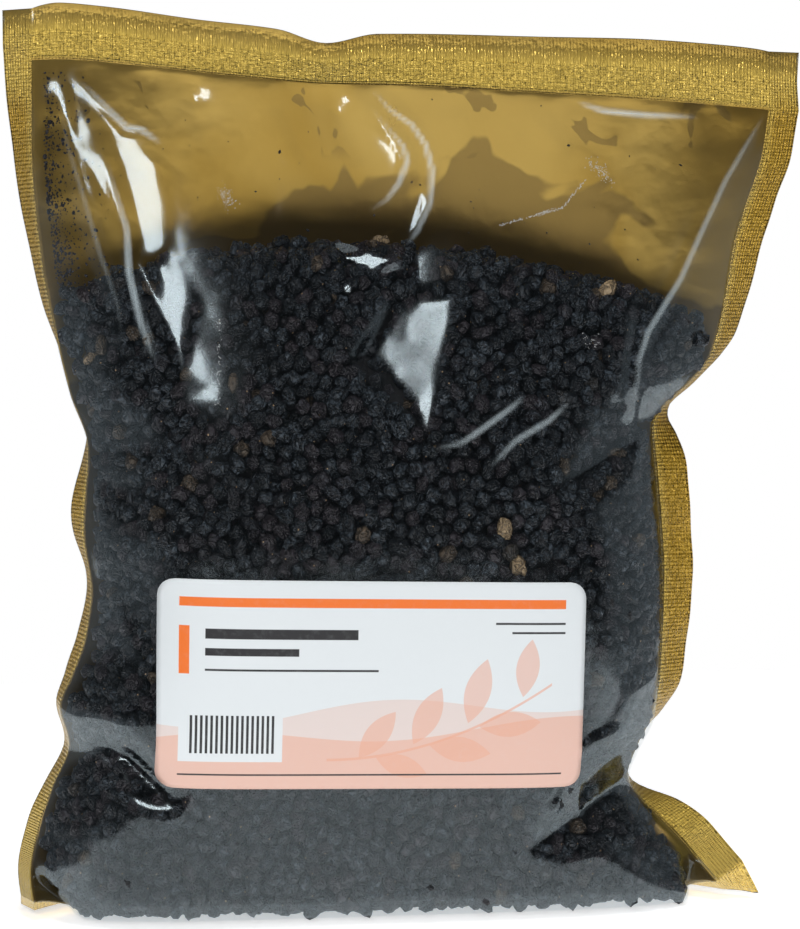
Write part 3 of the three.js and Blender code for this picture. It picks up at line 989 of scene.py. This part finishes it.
@dataclass(frozen=True)
class LabelFinish:
    """White coated paper printed with a peach leaf band, an orange bar, ruled lines and a striped panel."""

    width: float
    height: float
    paper: Colour = (0.68, 0.72, 0.74)
    peach: Colour = (0.72, 0.37, 0.26)
    blush: Colour = (0.70, 0.47, 0.39)
    orange: Colour = (0.80, 0.17, 0.025)
    ink: Colour = (0.02, 0.02, 0.022)
    leaves: tuple[tuple[Point, Point, float], ...] = (
        ((52, 13.0), (7, 2.8), 52), ((58, 5.5), (6.5, 2.6), -18), ((64, 17.5), (7.5, 3.0), 64),
        ((72, 9.5), (7.5, 3.0), -8), ((76, 23.5), (8, 3.1), 74), ((84, 15.5), (7.5, 3.0), 4),
        ((88, 29), (7, 2.8), 82),
    )
    clear_panel: tuple[Point, Point] = ((5, 6.5), (29.4, 19.5))
    striped_panel: tuple[Point, Point] = ((7, 8.5), (27.4, 17.5))
    stripe_pitch: float = 1.2
    bars: Boxes = (((5, 43.2), (97, 45.4)), ((5, 27.2), (7.4, 38.6)))
    rules: Boxes = (
        ((11, 35.6), (47, 38.0)), ((11, 31.6), (33, 33.4)), ((11, 28.0), (52, 28.5)),
        ((80, 39.4), (97, 39.9)), ((84, 37.2), (97, 37.7)), ((5, 3.2), (97, 3.6)),
    )

    @staticmethod
    def box(u: Value, v: Value, low: Point, high: Point, soft: float = 0.08) -> Value:
        """A printed rectangle.

        Args:
            u: Millimetres across the label.
            v: Millimetres up it.
            low: The rectangle's lower left corner.
            high: Its upper right corner.
            soft: How soft its edges are.

        Returns:
            1 inside it.
        """
        across = (u - (low[0] + high[0]) / 2).size() - (high[0] - low[0]) / 2
        upward = (v - (low[1] + high[1]) / 2).size() - (high[1] - low[1]) / 2
        return across.most(upward).step(soft, -soft)

    @staticmethod
    def leaf(u: Value, v: Value, place: Point, size: Point, turn: float) -> Value:
        """A pointed leaf.

        Args:
            u: Millimetres across the label.
            v: Millimetres up it.
            place: The leaf's middle.
            size: Half its length, and half its width.
            turn: Its slant in degrees.

        Returns:
            1 inside it.
        """
        c, s = math.cos(math.radians(turn)), math.sin(math.radians(turn))
        x, y = u - place[0], v - place[1]
        along, aside = (x * c + y * s) / size[0], (y * c - x * s) / size[1]
        return (along * along + aside.size()).step(1.02, 0.98)

    def make(self) -> Material:
        """Makes the material.

        Returns:
            The material.
        """
        graph = Graph("label_paper")
        a, b = graph.map("print")
        u, v = a * self.width, b * self.height
        slope = v - u * 0.045
        swell = (u * 0.075 + 0.6).sine() * 2.4
        colour = graph.blend((slope - 16.5 + swell).step(0.1, -0.1) * 0.5, self.paper, self.blush)
        colour = graph.blend((slope - 11.0 - swell * 0.8).step(0.1, -0.1) * 0.6, colour, self.peach)
        arc = v - 7.0 - (u - 40) * (u - 40) * 0.0062
        stem = arc.size().step(0.42, 0.22) * self.box(u, v, (40, 2), (94, 40))
        colour = graph.blend(stem * 0.7, colour, self.peach)
        for place, size, turn in self.leaves:
            colour = graph.blend(self.leaf(u, v, place, size, turn) * 0.6, colour, self.peach)
        colour = graph.blend(self.box(u, v, *self.clear_panel), colour, self.paper)
        stripes = ((u - self.striped_panel[0][0]) / self.stripe_pitch).part().above(0.5)
        stripes = stripes * self.box(u, v, *self.striped_panel, 0.01)
        colour = graph.blend(stripes, colour, self.ink)
        for boxes, ink in ((self.bars, self.orange), (self.rules, self.ink)):
            for low, high in boxes:
                colour = graph.blend(self.box(u, v, low, high), colour, ink)
        at = graph.places()
        fibres = graph.noise(at, 700.0, 3.0)
        colour = graph.blend(fibres.step(0.45, 0.8) * 0.05, colour, (0.62, 0.64, 0.66))
        normal = graph.bump(graph.noise(at, 45.0, 2.0) * 0.7 + fibres * 0.05, 0.0008, 0.35)
        return graph.finish(
            graph.principled(Base_Color=colour, Roughness=0.36 + fibres * 0.12, Normal=normal)
        )


@dataclass(frozen=True)
class FloorFinish:
    """A pale matt table."""

    def make(self) -> Material:
        """Makes the material.

        Returns:
            The material.
        """
        graph = Graph("pale_table")
        grain = graph.noise(graph.places(), 60.0, 3.0)
        colour = graph.blend(grain * 0.1, (0.93, 0.935, 0.94), (0.88, 0.885, 0.89))
        return graph.finish(graph.principled(
            Base_Color=colour, Roughness=0.7, Emission_Color=(1.0, 1.0, 1.0, 1.0), Emission_Strength=0.6
        ))


def shape_mesh(name: str, make: Callable[[BMesh], None]) -> Piece:
    """Makes an object from a bmesh.

    Args:
        name: The object's name.
        make: Fills the bmesh, in millimetres.

    Returns:
        The object, in metres.
    """
    bm = bmesh.new()
    make(bm)
    bmesh.ops.scale(bm, vec=(MM, MM, MM), verts=bm.verts)
    mesh = bpy.data.meshes.new(name)
    bm.to_mesh(mesh)
    bm.free()
    mesh.polygons.foreach_set("use_smooth", np.ones(len(mesh.polygons), bool))
    made = bpy.data.objects.new(name, mesh)
    bpy.context.scene.collection.objects.link(made)
    return made


def move_to(verts: Iterable[bmesh.types.BMVert], points: Array) -> None:
    """Moves each vertex to its own point."""
    for vertex, point in zip(verts, points):
        vertex.co = point


def lengths(points: Array) -> Array:
    """Measures along a line of points, from its first to each of them."""
    return np.concatenate([[0], np.cumsum(np.linalg.norm(np.diff(points, axis=0), axis=1))])


def random_turn(rng: np.random.Generator) -> Matrix:
    """Draws a random turn."""
    return Euler(rng.uniform(0, 2 * math.pi, 3)).to_matrix().to_4x4()


def keep_on_points(mesh: bpy.types.Mesh, name: str, values: Array) -> None:
    """Keeps a number on each point of a mesh.

    Args:
        mesh: The mesh.
        name: The attribute's name.
        values: One number for each point.
    """
    layer = mesh.attributes.new(name, "FLOAT", "POINT")
    layer.data.foreach_set("value", values.astype(np.float32).ravel())


def keep_map(mesh: bpy.types.Mesh, name: str, places: Array) -> None:
    """Gives a mesh a UV map from a place for each point.

    Args:
        mesh: The mesh.
        name: The map's name.
        places: One pair for each point.
    """
    corner = np.zeros(len(mesh.loops), np.int32)
    mesh.loops.foreach_get("vertex_index", corner)
    layer = mesh.uv_layers.new(name=name)
    layer.uv.foreach_set("vector", places[corner].astype(np.float32).ravel())


def thicken(piece: Piece, thickness: float, inner: int = 0) -> None:
    """Gives a sheet its thickness, half to each side.

    Args:
        piece: The sheet.
        thickness: In millimetres.
        inner: The number of the finish on its inner face.
    """
    solid = piece.modifiers.new("thickness", "SOLIDIFY")
    solid.thickness = thickness * MM
    solid.offset = 0.0
    solid.material_offset = inner


@dataclass
class FilmSheet:
    """One film, from the edge of its bottom seal to its cut top edge.

    crowding draws its columns towards the sides, and a row_power below 1 its rows towards the top.
    """

    form: PouchForm
    wall: Wall
    name: str
    node: str
    slot: str
    lift: float = 0.12
    thickness: float = 0.1
    columns: int = 160
    rows: int = 176
    seal_columns: int = 8
    base_rows: int = 6
    top_rows: int = 14
    crowding: float = 0.4
    row_power: float = 0.96
    map_scale: Point = (88, 200)
    turned_span: tuple[float, float, float, float] = (205, 195, 14, 40)

    def spread(self, grid: Array) -> tuple[Array, Array, Array, Array]:
        """Turns places on a plain grid into places on the film.

        Args:
            grid: Places from -1 to 1 both ways.

        Returns:
            Across, over, station and up, as PouchForm.film() takes them.
        """
        form = self.form
        column = (grid[:, 0] + 1) / 2 * self.columns
        inner = self.columns - 2 * self.seal_columns
        even = 2 * np.clip((column - self.seal_columns) / inner, 0, 1) - 1
        across = (1 - self.crowding) * even + self.crowding * np.sin(even * math.pi / 2)
        left = np.clip(self.seal_columns - column, 0, None)
        right = np.clip(column - self.seal_columns - inner, 0, None)
        over = (right - left) * form.side_seal / self.seal_columns
        row = (grid[:, 1] + 1) / 2 * self.rows
        body = self.rows - self.base_rows - self.top_rows
        station = np.clip((row - self.base_rows) / body, 0, 1) ** self.row_power
        base = np.clip(self.base_rows - row, 0, None) * form.base_seal / self.base_rows
        top = np.clip(row - self.base_rows - body, 0, None) * 2 * form.top_seal / self.top_rows
        return across, over, station, top - base

    def build(self) -> Piece:
        """Makes the film's middle surface.

        Returns:
            The film, still without thickness or finish.
        """
        kept: dict[str, Array] = {}

        def make(bm: BMesh) -> None:
            """Shapes the film and works out what its points keep.

            Args:
                bm: The new bmesh.
            """
            bmesh.ops.create_grid(bm, x_segments=self.columns, y_segments=self.rows, size=1.0)
            if self.wall is BACK:
                bmesh.ops.reverse_faces(bm, faces=bm.faces)
            grid = np.array([vertex.co[:2] for vertex in bm.verts])
            across, over, station, up = self.spread(grid)
            points = self.form.film(self.wall, across, over, station, up)
            move_to(bm.verts, points)
            bm.normal_update()
            for vertex in bm.verts:
                vertex.co += vertex.normal * self.lift
            sealed = np.maximum(smooth(0, 0.4, np.abs(over)), smooth(0, 0.5, np.abs(up)))
            lip = smooth(self.form.top_seal, self.form.top_seal + 0.8, up)
            kept["seal"] = sealed * (1 - lip)
            # The crease white kept here is partly a painted highlight along the creases.
            kept["whitened_highlight"] = self.form.whitened_highlight(points[:, 0], points[:, 2]) * (1 - sealed)
            top, below, foot, above = self.turned_span
            height = smooth(top, below, points[:, 2]) * smooth(foot, above, points[:, 2])
            kept["turned"] = smooth(0, 3, np.abs(over)) * height
            wide, high = self.map_scale
            kept["film"] = np.stack([across * wide + over, station * high + up], axis=-1) / MAP_UNIT

        piece = shape_mesh(self.name, make)
        for name in ("seal", "turned", "whitened_highlight"):
            keep_on_points(piece.data, name, kept[name])
        keep_map(piece.data, "film", kept["film"])
        return piece

    def dress(self, *materials: Material) -> Piece:
        """Builds the film, gives it its finishes and fixes it to the pouch.

        Args:
            materials: Its finish, and the finish of its inner face where that differs.

        Returns:
            The film.
        """
        piece = self.build()
        thicken(piece, self.thickness, len(materials) - 1)
        for material in materials:
            piece.data.materials.append(material)
        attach(piece, BODY)
        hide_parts(self.node)
        return piece


@dataclass
class PrintedLabel:
    """A rounded label that follows the front film."""

    form: PouchForm
    width: float = 102
    height: float = 49.6
    corner: float = 4
    middle: Point = (-13.6, 58.2)
    tilt: float = 1.2
    lift: float = 0.55
    thickness: float = 0.16
    spacing: float = 1.3

    def build(self) -> Piece:
        """Makes the label.

        Returns:
            The label, still without its finish.
        """
        half = np.array([self.width, self.height]) / 2
        kept: dict[str, Array] = {}

        def make(bm: BMesh) -> None:
            """Shapes the label and works out its print map.

            Args:
                bm: The new bmesh.
            """
            cells = [int(round(size / self.spacing)) for size in (self.width, self.height)]
            bmesh.ops.create_grid(bm, x_segments=cells[0], y_segments=cells[1], size=1.0)
            flat = np.array([vertex.co[:2] for vertex in bm.verts]) * half
            past = np.abs(flat) - (half - self.corner)
            rounded = np.all(past > 0, axis=1)
            scale = np.max(past, axis=1) / np.maximum(np.hypot(past[:, 0], past[:, 1]), TINY)
            corner = np.sign(flat) * ((half - self.corner) + past * scale[:, None])
            flat = np.where(rounded[:, None], corner, flat)
            turn = math.radians(self.tilt)
            x = self.middle[0] + flat[:, 0] * math.cos(turn) + flat[:, 1] * math.sin(turn)
            z = self.middle[1] - flat[:, 0] * math.sin(turn) + flat[:, 1] * math.cos(turn)
            across, station = self.form.find(x, z)
            points = self.form.wall(FRONT, across, station)
            points += self.form.outward(FRONT, across, station, fine=False) * self.lift
            points[:, 1] += self.form.depth_shift
            move_to(bm.verts, points)
            kept["print"] = (flat + half) / (2 * half)

        piece = shape_mesh("printed_label", make)
        keep_map(piece.data, "print", kept["print"])
        thicken(piece, self.thickness)
        return piece

    def dress(self) -> Piece:
        """Builds the label, prints it and fixes it to the pouch.

        Returns:
            The label.
        """
        piece = self.build()
        piece.data.materials.append(LabelFinish(self.width, self.height).make())
        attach(piece, BODY)
        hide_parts("label")
        return piece


@dataclass
class BerryHeap:
    """The berries: two packed layers behind the front film, a crown over the top, and a dark core that stands
    in for the shade deep in the heap.

    radius, layer_depths and core_inset are in millimetres, the last at the foot and how much more above it.
    least_room is the gap between the films that a berry needs, under the height foot and over it.
    """

    form: PouchForm
    spacing: float = 4.15
    radius: Point = (1.95, 2.5)
    foot: float = 17.0
    top: float = 161.5
    top_x: float = -20
    slope_left: float = 0.0026
    slope_right: float = 0.0021
    kinds: int = 14
    least_room: Point = (6.8, 3.4)
    edge: float = 0.99
    stations: Point = (0.02, 0.97)
    layer_depths: Point = (2.5, 5.4)
    push_share: float = 0.32
    crown_span: Point = (-84, 74)
    core_inset: Point = (1.0, 5.8)
    rng: np.random.Generator = field(default_factory=lambda: np.random.default_rng(SEED))

    def crest(self, x: Array) -> Array:
        """The height of the heap's top.

        Args:
            x: Places across, in millimetres.

        Returns:
            The height at each place.
        """
        slope = np.where(x < self.top_x, self.slope_left, self.slope_right)
        return self.top - slope * (x - self.top_x) ** 2

    def templates(self) -> list[bpy.types.Mesh]:
        """Makes a few wrinkled berries to copy.

        Returns:
            Their meshes, of a radius of about 1.
        """
        made = []
        for kind in range(self.kinds):
            bm = bmesh.new()
            bmesh.ops.create_icosphere(bm, subdivisions=2, radius=1.0)
            long, flat = self.rng.uniform(0.98, 1.36), self.rng.uniform(0.64, 0.92)
            for vertex in bm.verts:
                at = Vector(vertex.co) * 1.7 + Vector((kind * 7.3, 0, 0))
                ridge = abs(noise.noise(at)) * 1.3 + 0.55 * abs(noise.noise(at * 2.3))
                vertex.co *= 1.1 - 0.5 * ridge
                vertex.co = Vector((vertex.co.x * long, vertex.co.y, vertex.co.z * flat))
            mesh = bpy.data.meshes.new(f"berry_kind_{kind}")
            bm.to_mesh(mesh)
            bm.free()
            made.append(mesh)
        return made

    def lattice(self, wall: Wall, shift: float) -> tuple[Array, Array]:
        """Spreads places evenly over a wall.

        Args:
            wall: The side.
            shift: How far the rows are shifted, in spacings.

        Returns:
            The across and the station of each place.
        """
        samples, row_samples = 900, 500
        fine_stations = np.linspace(*self.stations, samples)
        spine = self.form.wall(wall, np.zeros(samples), fine_stations, fine=False)
        length = lengths(spine)
        pitch = self.spacing * 0.87
        places = []
        for row in range(int(length[-1] / pitch)):
            station = float(np.interp((row + shift) * pitch, length, fine_stations))
            across = np.linspace(-self.edge, self.edge, row_samples)
            line = self.form.wall(wall, across, np.full(row_samples, station), fine=False)
            run = lengths(line)
            wanted = (np.arange(int(run[-1] / self.spacing)) + 0.3 + (row % 2) * 0.5 + shift) * self.spacing
            wanted = wanted[wanted < run[-1]] + self.rng.normal(0, 1.5, np.count_nonzero(wanted < run[-1]))
            drift = self.rng.normal(0, 0.006, len(wanted))
            places.append(np.stack([np.interp(wanted, run, across), station + drift], axis=-1))
        across, station = np.concatenate(places).T
        return across, np.clip(station, *self.stations)

    def settle(
        self, wall: Wall, across: Array, station: Array, rounds: int = 7
    ) -> tuple[Array, Array]:
        """Pushes crowded places apart along the wall.

        Args:
            wall: The side.
            across: Places across, from -1 to 1.
            station: Places up, from 0 to 1.
            rounds: How many times each is pushed.

        Returns:
            The across and the station of each place.
        """
        step = 1e-3
        for _ in range(rounds):
            here = self.form.wall(wall, across, station, fine=False)
            along = (self.form.wall(wall, np.minimum(across + step, 1), station, fine=False) - here) / step
            rising = (self.form.wall(wall, across, np.minimum(station + step, 1), fine=False) - here) / step
            tree = kdtree.KDTree(len(here))
            for index, place in enumerate(here):
                tree.insert(place, index)
            tree.balance()
            push = np.zeros_like(here)
            for index, place in enumerate(here):
                for other, other_index, distance in tree.find_range(place, self.spacing):
                    if other_index != index and distance > 1e-6:
                        crowded = (self.spacing / distance - 1) * self.push_share
                        push[index] += (place - np.array(other)) * crowded
            across = across + (push * along).sum(1) / np.maximum((along * along).sum(1), 1.0)
            station = station + (push * rising).sum(1) / np.maximum((rising * rising).sum(1), 1.0)
            across = np.clip(across, -self.edge, self.edge)
            station = np.clip(station, *self.stations)
        return across, station

    def against(self, wall: Wall, depth: float, shift: float) -> Array:
        """Packs a layer of berries against a wall.

        Args:
            wall: The side.
            depth: How far in from the film the berries' middles are.
            shift: How far the rows are shifted, in spacings.

        Returns:
            The berries' middles.
        """
        across, station = self.settle(wall, *self.lattice(wall, shift))
        middle = self.form.wall(wall, across, station)
        other = self.form.wall(BACK if wall is FRONT else FRONT, across, station)
        room = np.linalg.norm(other - middle, axis=1)
        deep = np.minimum(depth + self.rng.uniform(-0.3, 0.9, len(room)), room * 0.46)
        middle -= self.form.outward(wall, across, station) * deep[:, None]
        crest = self.crest(middle[:, 0]) + self.rng.normal(0, 1.1, len(room)) - 1.5
        needed = np.where(middle[:, 2] < self.foot, *self.least_room)
        return middle[(room > needed) & (middle[:, 2] < crest)]

    def crown(self) -> Array:
        """Scatters the berries over the top of the heap.

        Returns:
            The berries' middles.
        """
        places = []
        for x in np.arange(*self.crown_span, self.spacing * 0.93):
            crest = float(self.crest(np.array([x]))[0])
            across, station = self.form.find(np.array([x]), np.array([crest]))
            front = float(self.form.wall(FRONT, across, station)[0, 1])
            back = float(self.form.wall(BACK, across, station)[0, 1])
            for row, y in enumerate(np.arange(front + 2.6, back - 2.4, self.spacing * 0.9)):
                lift = 2.2 * math.sin(math.pi * (y - front) / (back - front))
                jitter = self.rng.normal(0, (0.7, 0.5, 0.9))
                places.append((x + 2 * (row % 2) + jitter[0], y + jitter[1], crest - 1.6 + lift + jitter[2]))
                places.append((x + 2 - 2 * (row % 2), y + jitter[0], crest - 5.2 + lift))
        return np.array(places)

    def pile(self, name: str, middles: Array, templates: list[bpy.types.Mesh]) -> Piece:
        """Joins berries into one piece.

        Args:
            name: The piece's name.
            middles: The berries' middles.
            templates: The berries to copy.

        Returns:
            The piece.
        """
        tones = []

        def make(bm: BMesh) -> None:
            """Copies a berry to each middle.

            Args:
                bm: The new bmesh.
            """
            for middle in middles:
                template = templates[int(self.rng.integers(len(templates)))]
                radius = float(self.rng.uniform(*self.radius))
                turn = random_turn(self.rng)
                place = Matrix.Translation((middle[0], middle[1] + self.form.depth_shift, middle[2]))
                copy = template.copy()
                copy.transform(place @ turn @ Matrix.Diagonal((radius, radius, radius * 1.08, 1)))
                bm.from_mesh(copy)
                bpy.data.meshes.remove(copy)
                tones.append(float(self.rng.random()))

        piece = shape_mesh(name, make)
        corners = len(templates[0].vertices)
        scar = np.zeros((len(tones), corners))
        scar[:, 0] = 1.0
        keep_on_points(piece.data, "tone", np.repeat(np.array(tones), corners))
        keep_on_points(piece.data, "scar", scar)
        return piece

    def core(self) -> Piece:
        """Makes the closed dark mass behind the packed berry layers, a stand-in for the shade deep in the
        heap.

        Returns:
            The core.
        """

        def make(bm: BMesh) -> None:
            """Shapes the front and back of the core.

            Args:
                bm: The new bmesh.
            """
            bmesh.ops.create_grid(bm, x_segments=48, y_segments=44, size=1.0)
            place = bm.verts.layers.float_vector.new("place")
            for vertex in bm.verts:
                vertex[place] = vertex.co
            front = list(bm.verts)
            made = bmesh.ops.extrude_face_region(bm, geom=list(bm.faces), use_keep_orig=True)
            back = [item for item in made["geom"] if isinstance(item, bmesh.types.BMVert)]
            for wall, verts in ((FRONT, front), (BACK, back)):
                points = self.core_wall(wall, np.array([vertex[place][:2] for vertex in verts]))
                move_to(verts, points)
            bmesh.ops.recalc_face_normals(bm, faces=bm.faces)

        return shape_mesh("berry_core", make)

    def core_wall(self, wall: Wall, grid: Array) -> Array:
        """One side of the core.

        Args:
            wall: The side.
            grid: Places from -1 to 1 both ways.

        Returns:
            The points of that side.
        """
        across = grid[:, 0] * 0.93
        stations = np.linspace(0.09, 0.9, 500)
        column = self.form.wall(FRONT, np.zeros(500), stations, fine=False)[:, 2]
        last = np.interp(self.crest(across * 74 - 8) - 6, column, stations)
        station = 0.06 + (last - 0.06) * (grid[:, 1] + 1) / 2
        front = self.form.wall(FRONT, across, station, fine=False)
        back = self.form.wall(BACK, across, station, fine=False)
        room = np.linalg.norm(back - front, axis=1)
        middle = front if wall is FRONT else back
        inset = self.core_inset[0] + self.core_inset[1] * smooth(0.1, 0.22, station)
        deep = np.minimum(inset, room * 0.42) if wall is FRONT else np.minimum(2.2, room * 0.2)
        middle = middle - self.form.outward(wall, across, station, fine=False) * deep[:, None]
        middle[:, 1] += self.form.depth_shift
        return middle

    def dress(self) -> list[Piece]:
        """Builds the berries, gives them their finish and fixes them to the pouch.

        Returns:
            Their pieces.
        """
        templates = self.templates()
        front, behind = (
            self.against(FRONT, depth, shift) for depth, shift in zip(self.layer_depths, (0.0, 0.5))
        )
        half = len(front) // 2
        pieces = [
            self.pile("berries_low", front[:half], templates),
            self.pile("berries_high", front[half:], templates),
            self.pile("berries_behind", behind, templates),
            self.pile("berries_crown", self.crown(), templates),
        ]
        finish = BerryFinish().make()
        for piece in pieces:
            piece.data.materials.append(finish)
        core = self.core()
        # The core's near-black finish is painted shade between the berries.
        core.data.materials.append(CoreShadeFinish().make())
        pieces.append(core)
        for template in templates:
            bpy.data.meshes.remove(template)
        for piece in pieces:
            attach(piece, BODY)
            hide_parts("berry_fill")
            log.info("%s has %d faces", piece.name, len(piece.data.polygons))
        return pieces


@dataclass
class Specks:
    """Loose specks on the inside of the front film."""

    form: PouchForm
    name: str
    rng: np.random.Generator

    def scatter(self, across: Array, station: Array, sizes: Array, under: float) -> Piece:
        """Makes one flattened speck at each place.

        Args:
            across: Places across, from -1 to 1.
            station: Places up, from 0 to 1.
            sizes: The radius of each speck.
            under: How far they lie under the film's middle.

        Returns:
            The specks as one object, fixed to the pouch.
        """
        places = self.form.wall(FRONT, across, station) - self.form.outward(FRONT, across, station) * under
        places[:, 1] += self.form.depth_shift

        def make(bm: BMesh) -> None:
            """Puts a speck at each place.

            Args:
                bm: The new bmesh.
            """
            for place, size in zip(places, sizes):
                turn = random_turn(self.rng)
                shape = Matrix.Diagonal((size, size * 0.7, size * 0.5, 1))
                bmesh.ops.create_icosphere(
                    bm, subdivisions=1, radius=1.0, matrix=Matrix.Translation(place.tolist()) @ turn @ shape
                )

        piece = shape_mesh(self.name, make)
        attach(piece, BODY)
        return piece


@dataclass
class BerryDust:
    """Dark crumbs that cling inside the front film, mostly up the left side."""

    form: PouchForm
    count: int = 900
    edge: float = -0.97
    stray: float = 0.08
    stations: Point = (0.76, 0.985)

    def dress(self) -> Piece:
        """Builds the crumbs and gives them their finish.

        Returns:
            The crumbs.
        """
        rng = np.random.default_rng(SEED + 1)
        across = np.clip(self.edge + rng.exponential(0.036, self.count), self.edge, 0.3)
        across = np.where(rng.random(self.count) < self.stray, rng.uniform(-0.7, 0.8, self.count), across)
        station = self.stations[0] + rng.beta(1.1, 1.8, self.count) * 0.24
        station = np.clip(station, *self.stations)
        sizes = rng.lognormal(-1.35, 0.45, self.count)
        piece = Specks(self.form, "berry_dust", rng).scatter(across, station, sizes, 0.35)
        keep_on_points(piece.data, "tone", np.full(len(piece.data.vertices), 0.4))
        keep_on_points(piece.data, "scar", np.zeros(len(piece.data.vertices)))
        piece.data.materials.append(BerryFinish().make())
        return piece


@dataclass(frozen=True)
class Scuff:
    """A scratch: its two ends as x and z, its spread, and how many flakes it has."""

    start: Point
    end: Point
    spread: float
    count: int


@dataclass
class FilmScuffs:
    """White flakes where the front film is scratched."""

    form: PouchForm
    scuffs: tuple[Scuff, ...] = (
        Scuff((20, 168), (29, 170.5), 0.12, 70),
        Scuff((29, 170.5), (36, 172.5), 0.22, 90),
        Scuff((36, 172.5), (42.5, 179.5), 0.15, 70),
        Scuff((44.5, 184), (48.5, 180), 1.0, 130),
        Scuff((-47.5, 176.5), (-46, 172.5), 0.9, 110),
        Scuff((-49, 146), (-50, 124), 0.3, 60),
        Scuff((38.5, 140.5), (44, 139), 0.8, 30),
    )
    sizes: Point = (0.08, 0.2)

    def dress(self) -> Piece:
        """Builds the flakes and gives them their finish.

        Returns:
            The flakes.
        """
        rng = np.random.default_rng(SEED + 2)
        places = []
        for scuff in self.scuffs:
            share = rng.random((scuff.count, 1))
            line = np.array(scuff.start) * (1 - share) + np.array(scuff.end) * share
            places.append(line + rng.normal(0, scuff.spread, (scuff.count, 2)))
        x, z = np.concatenate(places).T
        across, station = self.form.find(x, z)
        sizes = rng.uniform(*self.sizes, len(x))
        piece = Specks(self.form, "film_scuffs", rng).scatter(across, station, sizes, 0.1)
        piece.data.materials.append(ScuffFinish().make())
        return piece


class Softbox(Enum):
    """The lights: azimuth, elevation, distance, size, power, and whether shiny surfaces show them."""

    KEY = (-27.0, 34.0, 1.7, 0.40, 6.5, True)
    FILL = (-6.0, 16.0, 2.0, 1.2, 15.0, False)
    OVER = (10.0, 82.0, 1.5, 0.7, 12.0, False)


@dataclass
class Studio:
    """A pale table, soft lights, a white background and the camera.

    target and distance are in metres, the table's measures in millimetres. dim and walls are the strengths of
    the surroundings and of the paler walls in them.
    """

    target: Vector = field(default_factory=lambda: Vector((-0.003, 0.0021, 0.109)))
    azimuth: float = -8.0
    elevation: float = 3.0
    distance: float = 0.655
    lens: float = 102.1
    dim: float = 0.05
    walls: float = 0.27
    table_half: Point = (320, 560)
    table_middle: tuple[float, float, float] = (0, -140, -0.4)

    def aim(self, made: Piece, azimuth: float, elevation: float, distance: float) -> None:
        """Puts a light or the camera into the scene, turned to the pouch.

        Args:
            made: The light or camera.
            azimuth: Its angle round the pouch from the front, in degrees.
            elevation: Its angle above the table.
            distance: How far off it is, in metres.
        """
        a, e = math.radians(azimuth), math.radians(elevation)
        back = Vector((math.sin(a) * math.cos(e), -math.cos(a) * math.cos(e), math.sin(e)))
        made.location = self.target + back * distance
        made.rotation_euler = (-back).to_track_quat("-Z", "Y").to_euler()
        bpy.context.scene.collection.objects.link(made)

    def camera(self) -> None:
        """Sets the camera at the photograph's viewing angle."""
        data = bpy.data.cameras.new("camera")
        data.lens = self.lens
        data.sensor_width = 36.0
        data.clip_start = 0.01
        made = bpy.data.objects.new("camera", data)
        self.aim(made, self.azimuth, self.elevation, self.distance)
        bpy.context.scene.camera = made

    def lights(self) -> None:
        """Hangs the softboxes."""
        for box in Softbox:
            azimuth, elevation, distance, size, power, shows = box.value
            data = bpy.data.lights.new(box.name.lower(), "AREA")
            data.shape = "SQUARE"
            data.size = size
            data.energy = power
            made = bpy.data.objects.new(box.name.lower(), data)
            self.aim(made, azimuth, elevation, distance)
            made.visible_camera = False
            made.visible_glossy = shows

    def world(self) -> None:
        """Makes the surroundings: white to the camera, else dim, with paler walls beside and behind."""
        world = bpy.data.worlds.new("studio")
        bpy.context.scene.world = world
        graph = Graph("studio", world)
        way = graph.node("ShaderNodeTexCoord", {}, {}).outputs["Generated"]
        split = graph.node("ShaderNodeSeparateXYZ", {}, {0: way})
        right, height = Value(graph, split.outputs[0]), Value(graph, split.outputs[2])
        walls = Value(graph, split.outputs[1]).step(-0.72, -0.35) * (height - right * 0.15).step(0.30, 0.04)
        around = graph.node("ShaderNodeBackground", {}, {
            "Color": (0.9, 0.95, 1.0, 1.0), "Strength": walls * (self.walls - self.dim) + self.dim,
        })
        white = graph.node("ShaderNodeBackground", {}, {"Color": (1.0, 1.0, 1.0, 1.0), "Strength": 1.0})
        path = graph.node("ShaderNodeLightPath", {}, {})
        mixed = graph.node("ShaderNodeMixShader", {}, {
            0: path.outputs["Is Camera Ray"], 1: around.outputs[0], 2: white.outputs[0],
        })
        graph.node("ShaderNodeOutputWorld", {}, {0: mixed.outputs[0]})

    def table(self) -> None:
        """Lays the table."""

        def make(bm: BMesh) -> None:
            """Shapes the table top.

            Args:
                bm: The new bmesh.
            """
            bmesh.ops.create_grid(bm, x_segments=4, y_segments=4, size=1.0)
            bmesh.ops.scale(bm, vec=(*self.table_half, 1), verts=bm.verts)
            bmesh.ops.translate(bm, vec=self.table_middle, verts=bm.verts)

        table = shape_mesh("table", make)
        table.data.materials.append(FloorFinish().make())

    def build(self) -> None:
        """Sets up the whole studio."""
        self.camera()
        self.lights()
        self.world()
        self.table()
        bpy.context.scene.view_settings.view_transform = "Standard"


def main() -> None:
    """Dresses the pouch and sets the studio round it."""
    logging.basicConfig(level=logging.INFO, format="%(name)s: %(message)s")
    form = PouchForm()
    back = FilmSheet(form, BACK, "gold_back_film", "back_film", "gold_film")
    front = FilmSheet(form, FRONT, "clear_front_film", "front_film", "clear_film", columns=208, rows=228)
    log.info("built %s", back.dress(GoldFilmFinish().make(), GoldFilmFinish(inner=True).make()).name)
    log.info("built %s", front.dress(ClearFilmFinish().make()).name)
    for piece in BerryHeap(form).dress():
        log.info("built %s", piece.name)
    log.info("built %s", BerryDust(form).dress().name)
    log.info("built %s", FilmScuffs(form).dress().name)
    log.info("built %s", PrintedLabel(form).dress().name)
    Studio().build()


if __name__ == "__main__":
    main()
